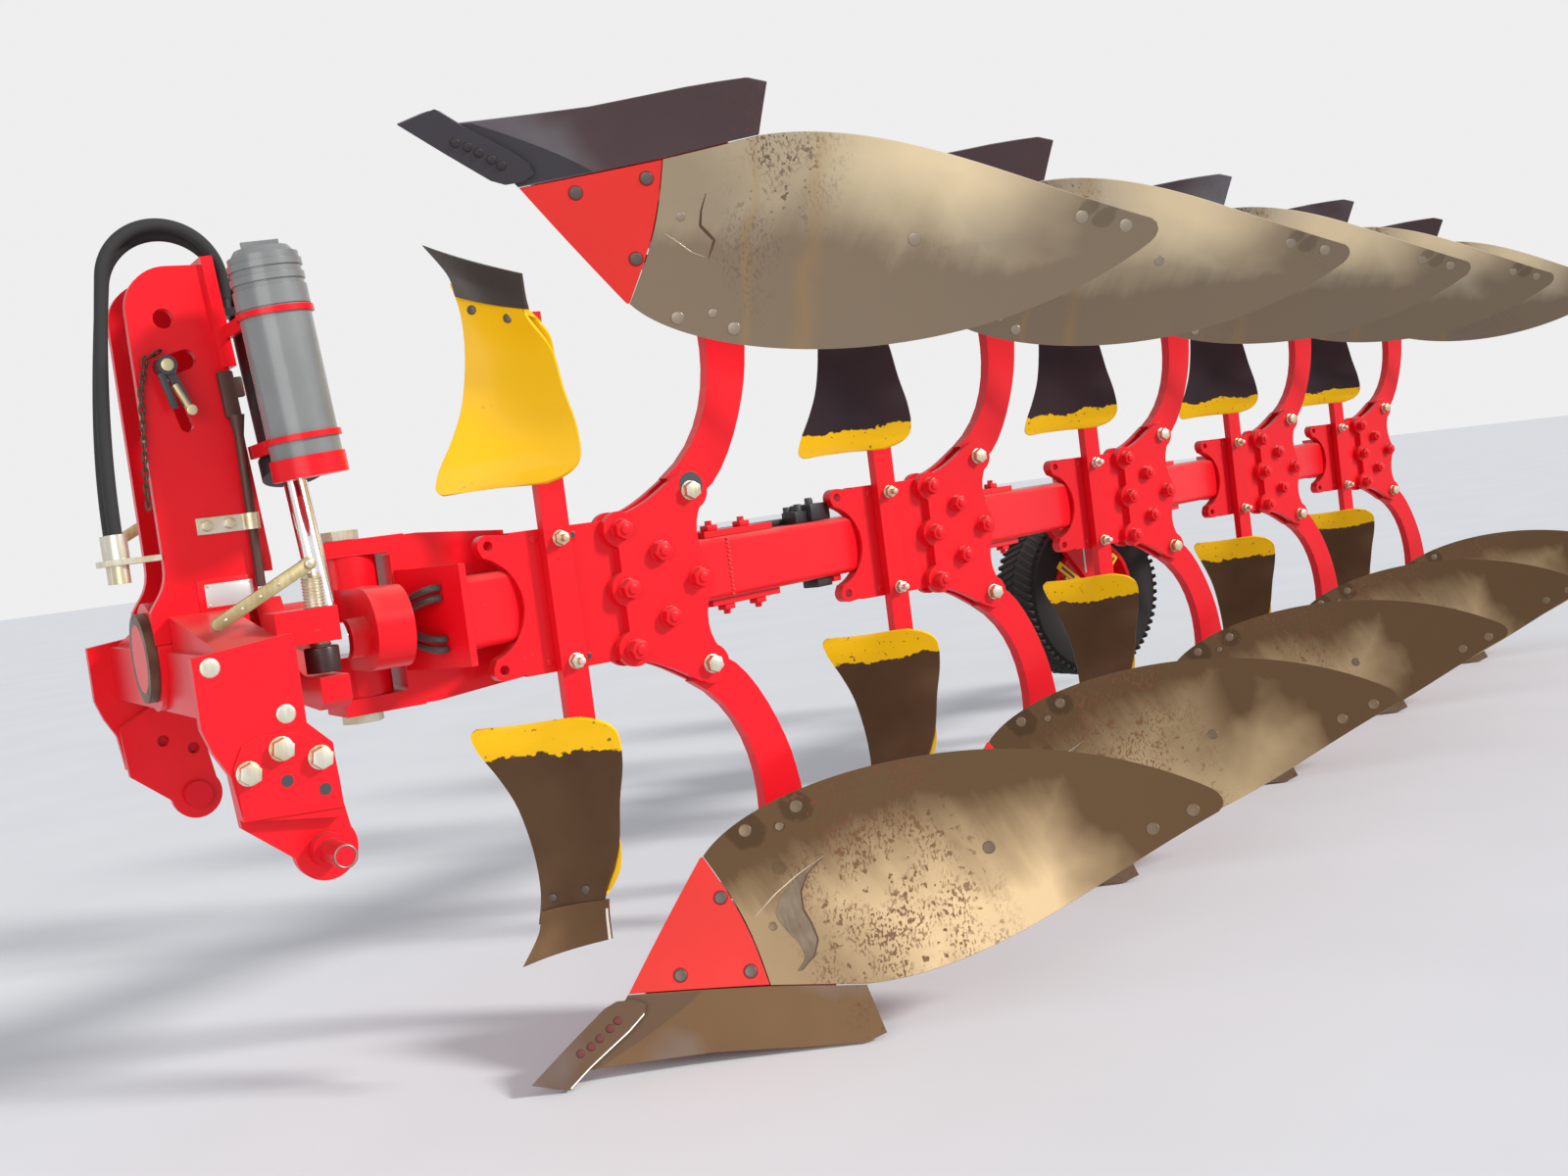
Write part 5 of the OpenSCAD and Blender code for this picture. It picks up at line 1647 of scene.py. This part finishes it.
@dataclass
class Headstock:
    """Bolts and small parts of the headstock."""

    hitch_bolts: tuple = ((-960, -164), (-909, -137), (-855, -160))
    hitch_hole_shades: tuple = ((-907, -185), (-854, -208))
    cheek_plugs: tuple = ((-991, -4), (-894, -88))
    clamp_bolts: tuple = ((-882, 207), (-845, 208))
    clamp_y: float = 55.0
    plate_rim: tuple = (
        (-980, -153), (-964, -124), (-935, -113), (-883, -117), (-834, -149), (-831, -198), (-830, -240),
        (-976, -232),
    )
    leaf: float = 4.0
    pin_at: Pair = (-858.0, -300.0)
    pin_length: float = 75.0
    half: float = 482.5
    bar: Pair = (-809.0, 51.0)
    bar_radius: float = 8.0

    def plates(self) -> None:
        """Lays the bolted plates' outer leaves on the cheeks, with their holes as dark discs of painted shade and
        the pins' worn rings.
        """
        leaves, rings = bmesh.new(), bmesh.new()
        hole_shades = Fasteners("hitch_hole_shades", DARK_METAL, Body.HEADSTOCK)
        for side in (-1, 1):
            y = TURN_Y + side * self.half
            rim = leaves.faces.new([leaves.verts.new(at(x, y, z)) for x, z in self.plate_rim])
            raise_faces(leaves, [rim], (0, side * mm(self.leaf), 0))
            for x, z in self.hitch_hole_shades:
                # Dark disc of painted shade for the open hole.
                hole_shades.cylinder(at(x, y + side * self.leaf, z), Vector((0, side, 0)), 9.0, 0.6)
            end = TURN_Y + side * (self.half + self.pin_length)
            add_ring(rings, at(self.pin_at[0], end, self.pin_at[1]), FAR, 16.0, 1.6, 28, 8)
        bmesh.ops.recalc_face_normals(leaves, faces=leaves.faces[:])
        hand_over("hitch_leaves", leaves, RED_PAINT, Body.HEADSTOCK)
        hand_over("pin_worn_rings", rings, BARE_STEEL, Body.HEADSTOCK)
        hole_shades.close()

    def steady(self) -> None:
        """Makes the rusty steady bar with its flat fork end."""
        bar = Fasteners("steady_bar_dressed", BAR_STEEL, Body.HEADSTOCK)
        x, y = self.bar
        bar.cylinder(at(x, y, 96), UP, self.bar_radius, 290, chamfer=1.5)
        bar.cylinder(at(x, y, 352), UP, self.bar_radius, 34, top=1.7)
        lean = Matrix.Rotation(math.radians(-4), 4, "Y")
        add_block(bar.bm, at(x - 7, y, 421), (26, 16, 78), lean, 4.0)
        add_block(bar.bm, at(x + 10, y, 432), (16, 14, 34), lean, 3.0)
        bar.close(["steady_bar"])

    def build(self) -> None:
        """Adds the hitch bolts, plugs, clamp bolts, plates and steady bar."""
        bolts = Fasteners("hitch_bolts", ZINC, Body.HEADSTOCK)
        for x, z in self.hitch_bolts:
            for side in (-1, 1):
                spot = at(x, TURN_Y + side * (self.half + self.leaf), z)
                bolts.hex_bolt(spot, Vector((0, side, 0)), 30, turn=10.0 * side)
        for x, z in self.cheek_plugs:
            bolts.dome_bolt(at(x, TURN_Y - self.half, z), NEAR, 15, 2.0)
        for x, z in self.clamp_bolts:
            bolts.hex_bolt(at(x, self.clamp_y, z), NEAR, 17, washer=False)
        bolts.close()
        self.plates()
        self.steady()


@dataclass
class StopSpindles:
    """Threaded stop spindles with their levers, one for each working side.

    A place is the spindle's sideways place, its height over the near one, and its lever's side.
    """

    places: tuple = ((-200.0, 0.0, -1), (500.0, 156.0, 1))
    x: float = -793.0
    core: float = 14.5
    crest: float = 17.0
    pitch: float = 5.0
    foot: float = -10.0
    crests: int = 23
    top: float = 110.0
    lever_top: Pair = (-799.0, 125.0)
    lever_foot: Pair = (-946.0, 52.0)
    lever_half: float = 10.5
    lever_thick: float = 9.0
    lever_out: float = 16.0
    stud_shares: tuple = (0.35, 0.55, 0.75, 0.93)

    def threads(self) -> None:
        """Spins the threaded bars."""
        bm = bmesh.new()
        line = [(0.0, self.foot), (self.core, self.foot)]
        for i in range(self.crests):
            z = self.foot + 2.0 + i * self.pitch
            line += [(self.crest, z), (self.core, z + self.pitch / 2)]
        line += [(self.core - 2, self.top), (0.0, self.top)]
        for y, lift, _ in self.places:
            before = set(bm.verts)
            spin_line(bm, line, (0, 0, 1), 24)
            bmesh.ops.remove_doubles(bm, verts=made_since(bm, before), dist=1e-6)
            bmesh.ops.translate(bm, vec=at(self.x, y, lift), verts=made_since(bm, before))
        bmesh.ops.recalc_face_normals(bm, faces=bm.faces[:])
        hand_over("stop_threads", bm, ZINC, Body.HEADSTOCK, ["tilt_spindles"], 25)

    def lever(self, bm: Mesh, place: Vector, side: int) -> None:
        """Adds one flat lever with round ends.

        Args:
            bm: Mesh that takes the lever.
            place: Middle of its upper end in frame metres.
            side: Side of its place that it lies on, -1 or 1.
        """
        (x0, z0), (x1, z1) = self.lever_top, self.lever_foot
        lean = Matrix.Rotation(math.pi + math.atan2(z1 - z0, x0 - x1), 4, "Y")
        before = set(bm.verts)
        made = bmesh.ops.create_circle(bm, cap_ends=True, segments=24, radius=mm(self.lever_half))["verts"]
        faces = list({f for v in made for f in v.link_faces})
        length = mm(math.hypot(x1 - x0, z1 - z0))
        bmesh.ops.translate(bm, vec=(length, 0, 0), verts=[v for v in made if v.co.x > 1e-5])
        raise_faces(bm, faces, (0, 0, mm(self.lever_thick)))
        verts = made_since(bm, before)
        flat = [e for e in edges_of(verts) if abs(e.verts[0].co.z - e.verts[1].co.z) < 1e-6]
        verts = bevel(bm, verts, flat, 1.2)
        inwards = Matrix.Translation((0, 0, -mm(self.lever_thick / 2) * (1 + side)))
        bmesh.ops.transform(bm, matrix=Matrix.Translation(place) @ lean @ UPRIGHT @ inwards, verts=verts)

    def levers(self) -> None:
        """Makes the levers, their bolts and the dark spindle heads."""
        bm = bmesh.new()
        bolts = Fasteners("lever_bolts", ZINC, Body.HEADSTOCK)
        heads = Fasteners("spindle_heads", SPINDLE_HEAD, Body.HEADSTOCK)
        (x0, z0), low_end = self.lever_top, self.lever_foot
        for y, lift, side in self.places:
            self.lever(bm, at(x0, y + side * self.lever_out, z0 + lift), side)
            out, face = Vector((0, side, 0)), y + side * (self.lever_out + self.lever_thick)
            bolts.dome_bolt(at(x0, face, z0 + lift), out, 8.0, 4.0)
            bolts.cylinder(at(x0, y, z0 + lift), out, 9.0, 17, chamfer=0.5)
            bolts.cylinder(at(x0, y, 100 + lift), UP, 9.0, 32, chamfer=2.0)
            for share in self.stud_shares:
                x, z = blend(self.lever_top, low_end, share)
                bolts.dome_bolt(at(x, face, z + lift), out, 2.6, 0.7)
            heads.cylinder(at(self.x, y, lift - 46), UP, 27.0, 40, 32, 3.0)
        bmesh.ops.recalc_face_normals(bm, faces=bm.faces[:])
        hand_over("stop_levers", bm, LEVER_ZINC, Body.HEADSTOCK)
        bolts.close()
        heads.close()

    def build(self) -> None:
        """Makes threads, levers and heads."""
        self.threads()
        self.levers()


@dataclass
class TowerFittings:
    """Blank plate, pins and chain on the tower's near plate."""

    face_y: float = 60.0
    rivet_x: Pair = (-895.0, -825.0)
    rivet_z: Pair = (75.0, 107.0)
    cotter_top: Point = (-904.0, 34.0, 442.0)
    cotter_foot: Point = (-884.0, 34.0, 398.0)
    chain_y: float = 50.0
    chain_way: tuple = ((-922, 497), (-941, 488), (-955, 433), (-960, 370), (-968, 285), (-970, 246))
    link_pitch: float = 13.0
    link_ways: tuple = ((0.9, 0.3, 0.2), (0.0, 1.0, 0.0))

    def plate(self) -> None:
        """Adds the plain plate on its backing, with its rivets."""
        for name, x, proud, size, width, finish in (
            ("plate_backing", -862, 0.8, (98, 1.6, 56), 0.5, RED_PAINT),
            ("plate_blank", -860, 2.2, (79, 1.2, 39), 0.4, BLANK_PLATE),
        ):
            bm = bmesh.new()
            add_block(bm, at(x, self.face_y - proud, 91), size, width=width)
            hand_over(name, bm, finish, Body.HEADSTOCK)
        rivets = Fasteners("plate_rivets", ZINC, Body.HEADSTOCK)
        for x in self.rivet_x:
            for z in self.rivet_z:
                rivets.dome_bolt(at(x, self.face_y - 2.8, z), NEAR, 2.4, 1.2)
        rivets.close()

    def pins(self) -> None:
        """Adds the flat handle and the spring cotter that hang at the top-link pin."""
        handle = bmesh.new()
        add_block(handle, at(-916, 30, 432), (12, 7, 62), Matrix.Rotation(math.radians(-14), 4, "Y"), 2.0)
        hand_over("pin_handle", handle, DARK_METAL, Body.HEADSTOCK)
        rod, top = Fasteners("pin_cotter", GOLD_ZINC, Body.HEADSTOCK), at(*self.cotter_top)
        rod.cylinder(top, at(*self.cotter_foot) - top, 6.5, 46, 16, 1.0)
        rod.cylinder(at(-884, 30, 398), NEAR, 9.0, 8, chamfer=1.5)
        rod.cylinder(at(-912, 26, 474), NEAR, 10.5, 3.0, chamfer=1.0)
        rod.close()

    def chain(self) -> None:
        """Adds the rusty chain that keeps the pin, with its links turned by turns."""
        bm = bmesh.new()
        way = [at(x, self.chain_y, z) for x, z in self.chain_way]
        left, number = 0.0, 0
        for a, b in zip(way, way[1:]):
            step, length = (b - a).normalized(), (b - a).length
            while left < length:
                spot = a + step * left
                facing = step.cross(Vector(self.link_ways[number % 2])).normalized()
                flat = frame_along(spot, facing).to_3x3().inverted() @ step
                add_ring(bm, spot, facing, 4.6, 1.7, 12, 6, 1.9, math.degrees(math.atan2(flat.y, flat.x)))
                left += mm(self.link_pitch)
                number += 1
            left -= length
        hand_over("pin_chain", bm, CHAIN_STEEL, Body.HEADSTOCK)

    def build(self) -> None:
        """Makes all fittings."""
        self.plate()
        self.pins()
        self.chain()


@dataclass
class DepthWheel:
    """Tyre with ribs, bolts on the rim, and marks on the arm."""

    hub: Point = (2268.0, 1500.0, -325.0)
    half_section: tuple = ((-80, 173), (-92, 190), (-99, 215), (-99, 245), (-93, 266), (-76, 280), (-40, 283))
    ribs: int = 66
    rib_size: Point = (12.0, 88.0, 13.0)
    rib_at: Pair = (46.0, 281.0)
    rib_shift: float = 0.035
    rib_lean: float = 22.0
    bolts_round: int = 5
    bolt_circle: float = 75.0
    bolt_out: float = 9.0
    arm_face: float = 1350.0
    bars: tuple = (((2064, -213), (2200, -327)), ((2316, -213), (2226, -299)))
    bar_size: Pair = (5.0, 26.0)
    slot_size: Pair = (0.8, 9.0)
    slot_share: float = 0.36
    slot_back: float = 0.24

    def tyre(self) -> None:
        """Spins the tyre's section and adds its cross ribs."""
        bm, hub = bmesh.new(), at(*self.hub)
        section = self.half_section + tuple((-w, r) for w, r in reversed(self.half_section))
        spin_line(bm, section, (1, 0, 0), 72, closed=True)
        bmesh.ops.recalc_face_normals(bm, faces=bm.faces[:])
        turn = Matrix.Translation(hub) @ Matrix.Rotation(math.radians(90), 4, "Z")
        bmesh.ops.transform(bm, matrix=turn, verts=bm.verts[:])
        for i in range(self.ribs):
            for side in (-1, 1):
                spin = Matrix.Rotation(math.tau * i / self.ribs + side * self.rib_shift, 4, "Y")
                lean = Matrix.Rotation(math.radians(self.rib_lean * side), 4, "Z")
                spot = hub + spin @ Vector((0, side * mm(self.rib_at[0]), mm(self.rib_at[1])))
                add_block(bm, spot, self.rib_size, spin @ lean, 1.5)
        hand_over("tyre_ribbed", bm, TYRE_RUBBER, Body.WHEEL, ["wheel_tyre"], 30)

    def bolts(self) -> None:
        """Adds the wheel bolts."""
        bolts = Fasteners("wheel_bolts", ZINC, Body.WHEEL)
        for i in range(self.bolts_round):
            a = math.tau * i / self.bolts_round
            x, z = self.hub[0] + self.bolt_circle * math.cos(a), self.hub[2] + self.bolt_circle * math.sin(a)
            bolts.hex_bolt(at(x, self.hub[1] - self.bolt_out, z), NEAR, 19, stud=5.0)
        bolts.close()

    def marks(self) -> None:
        """Adds the slotted yellow bars, each slot a dark strip of painted shade, and the pale strip on the arm's
        near face.
        """
        bars, slots, strip = bmesh.new(), bmesh.new(), bmesh.new()
        thick, tall = self.bar_size
        for (x0, z0), (x1, z1) in self.bars:
            length = math.hypot(x1 - x0, z1 - z0)
            turn = Matrix.Rotation(math.atan2(z0 - z1, x1 - x0), 4, "Y")
            spot = at((x0 + x1) / 2, self.arm_face - thick / 2, (z0 + z1) / 2)
            add_block(bars, spot, (length, thick, tall), turn, 1.0)
            # Dark strip of painted shade for the slot.
            slot = spot + turn @ Vector((mm(-length * self.slot_back), -mm(thick / 2 + 0.1), 0))
            add_block(slots, slot, (length * self.slot_share, *self.slot_size), turn, 0.3)
        add_block(strip, at(2181, self.arm_face - 0.5, -211), (7, 1.4, 86), width=0.4)
        hand_over("arm_bars", bars, YELLOW_PAINT, Body.ARM)
        hand_over("arm_bar_slot_shades", slots, DARK_METAL, Body.ARM)
        hand_over("arm_strip", strip, BLANK_PLATE, Body.ARM)

    def build(self) -> None:
        """Makes tyre, bolts and the arm's marks."""
        self.tyre()
        self.bolts()
        self.marks()


@dataclass(frozen=True)
class Hose:
    """A free hose: rise from the port, bend over the tower's top, and slope down to its parked coupling."""

    name: str
    node: str
    bend_middle: Pair
    bend_radius: float
    sideways: Pair
    foot: Point
    start_z: float = 585.3
    bend_end: int = 171
    bend_step: int = 3
    fall_steps: int = 24
    diameter: float = 0.022

    def points(self) -> list[Vector]:
        """Works out the route in frame metres.

        Returns:
            The points, from the port to the coupling.
        """
        (mx, mz), r, (y0, y1) = self.bend_middle, self.bend_radius, self.sideways
        made = [(mx + r, y0, self.start_z)]
        for angle in range(0, self.bend_end + 1, self.bend_step):
            a = math.radians(angle)
            made.append((mx + r * math.cos(a), mix(y0, y1, angle / self.bend_end), mz + r * math.sin(a)))
        (x0, _, z0), (x1, y2, z1) = made[-1], self.foot
        for i in range(1, self.fall_steps + 1):
            t = i / self.fall_steps
            x = mix(x0, x1, math.sin(math.pi / 2 * t))
            made.append((x, mix(y1, y2, t * t * (3 - 2 * t)), mix(z0, z1, t)))
        return [at(*q) for q in made]

    def build(self) -> None:
        points = self.points()
        data = bpy.data.curves.new(self.name, "CURVE")
        data.dimensions = "3D"
        data.bevel_depth = self.diameter / 2
        data.bevel_resolution = 4
        spline = data.splines.new("POLY")
        spline.points.add(len(points) - 1)
        for spot, point in zip(spline.points, points):
            spot.co = (*point, 1.0)
        data.materials.append(RUBBER.material())
        obj = shown(self.name, data)
        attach(obj, Body.HEADSTOCK.value)
        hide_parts(self.node)
        length = sum((b - a).length for a, b in zip(points, points[1:]))
        LOG.info("%s: %.3f m", self.name, length)


LEFT_HOSE = Hose("left_hose", "hose_left", (-886.0, 618.0), 96.0, (92.0, 92.0), (-1022.0, 76.0, 211.0))
RIGHT_HOSE = Hose("right_hose", "hose_right", (-880.0, 606.0), 97.0, (117.0, 127.0), (-1022.0, 126.0, 211.0))


@dataclass
class Studio:
    """Camera, floor, world and lamps."""

    spot: Point = (-1493.0, -2756.0, 143.0)
    right: Point = (0.843, -0.522, -0.127)
    forward: Point = (0.519, 0.853, -0.059)
    focal_pixels: float = 1663.29
    image_width: float = 1600.0
    sensor: float = 36.0
    clip: Pair = (0.05, 200.0)
    floor_size: float = 60.0
    floor_z: float = -0.002
    floor_tones: Pair = (0.72, 0.69)
    sky: Point = (0.86, 0.91, 1.0)
    sky_strength: float = 0.55
    seen_strength: float = 0.86

    def camera(self) -> None:
        """Sets the camera where the photograph was taken from."""
        data = bpy.data.cameras.new("camera")
        data.sensor_width = self.sensor
        data.lens = self.focal_pixels / self.image_width * self.sensor
        data.clip_start, data.clip_end = self.clip
        look, side = Vector(self.forward).normalized(), Vector(self.right)
        side = (side - look * side.dot(look)).normalized()
        turn = Matrix((side, side.cross(look), -look)).transposed().to_4x4()
        obj = shown("camera", data)
        obj.matrix_world = Matrix.Translation(at(*self.spot)) @ turn
        bpy.context.scene.camera = obj

    def floor(self) -> None:
        """Lays a pale floor under the plough."""
        bm = bmesh.new()
        bmesh.ops.create_grid(bm, x_segments=1, y_segments=1, size=self.floor_size)
        mesh = bpy.data.meshes.new("floor")
        bm.to_mesh(mesh)
        bm.free()
        made = bpy.data.materials.new("floor_pale")
        made.use_nodes = True
        t, shader = Tree(made.node_tree), made.node_tree.nodes["Principled BSDF"]
        light, dark = (rgba((tone,) * 3) for tone in self.floor_tones)
        t.join(t.mix(PATCHES.put(t, Scale=1.5, Low=0.3, High=0.7), light, dark), shader, "Base Color")
        shader.inputs["Roughness"].default_value = 0.9
        mesh.materials.append(made)
        obj = shown("floor", mesh)
        obj.location = (0, 0, self.floor_z)

    def world(self) -> None:
        """Makes an even pale world, whiter to the camera and in reflections."""
        world = bpy.data.worlds.new("studio")
        world.use_nodes = True
        bpy.context.scene.world = world
        t, nodes = Tree(world.node_tree), world.node_tree.nodes
        lit = nodes["Background"]
        lit.inputs[0].default_value = rgba(self.sky)
        lit.inputs[1].default_value = self.sky_strength
        seen_world = t.add("Background", Color=(1, 1, 1, 1), Strength=self.seen_strength)
        path = t.add("LightPath").outputs
        seen = t.most(t.most(path["Is Camera Ray"], path["Is Transmission Ray"]), path["Is Glossy Ray"])
        blended = t.add("MixShader", _0=seen, _1=lit.outputs[0], _2=seen_world.outputs[0])
        t.tree.links.new(blended.outputs[0], nodes["World Output"].inputs[0])

    def lamps(self) -> None:
        """Hangs a large soft key lamp and a weak fill lamp."""
        for name, kind, power, soft, size, place, aim in (
            ("key", "SUN", 3.0, "angle", 0.14, (7.2, -7.6, 5.6), (0.0, 0.0, 0.0)),
            ("fill", "AREA", 150.0, "size", 4.0, (-6.0, -5.0, 2.2), (-0.5, 0.0, 0.8)),
        ):
            data = bpy.data.lights.new(name, kind)
            data.energy = power
            setattr(data, soft, size)
            obj = shown(name, data)
            obj.location = place
            obj.rotation_mode = "QUATERNION"
            obj.rotation_quaternion = (Vector(aim) - Vector(place)).to_track_quat("-Z", "Y")

    def build(self) -> None:
        """Makes floor, world and lamps."""
        self.floor()
        self.world()
        self.lamps()


def main() -> None:
    """Builds the camera, the hoses and every sub-assembly in order."""
    bpy.context.scene.view_settings.view_transform = "Standard"
    studio = Studio()
    studio.camera()
    LEFT_HOSE.build()
    RIGHT_HOSE.build()
    dress_solids()
    for kind in (
        Bodies, Skimmers, Consoles, BeamFittings, BeamValve, Headstock, StopSpindles, TowerFittings, DepthWheel
    ):
        kind().build()
    studio.build()


if __name__ == "__main__":
    main()
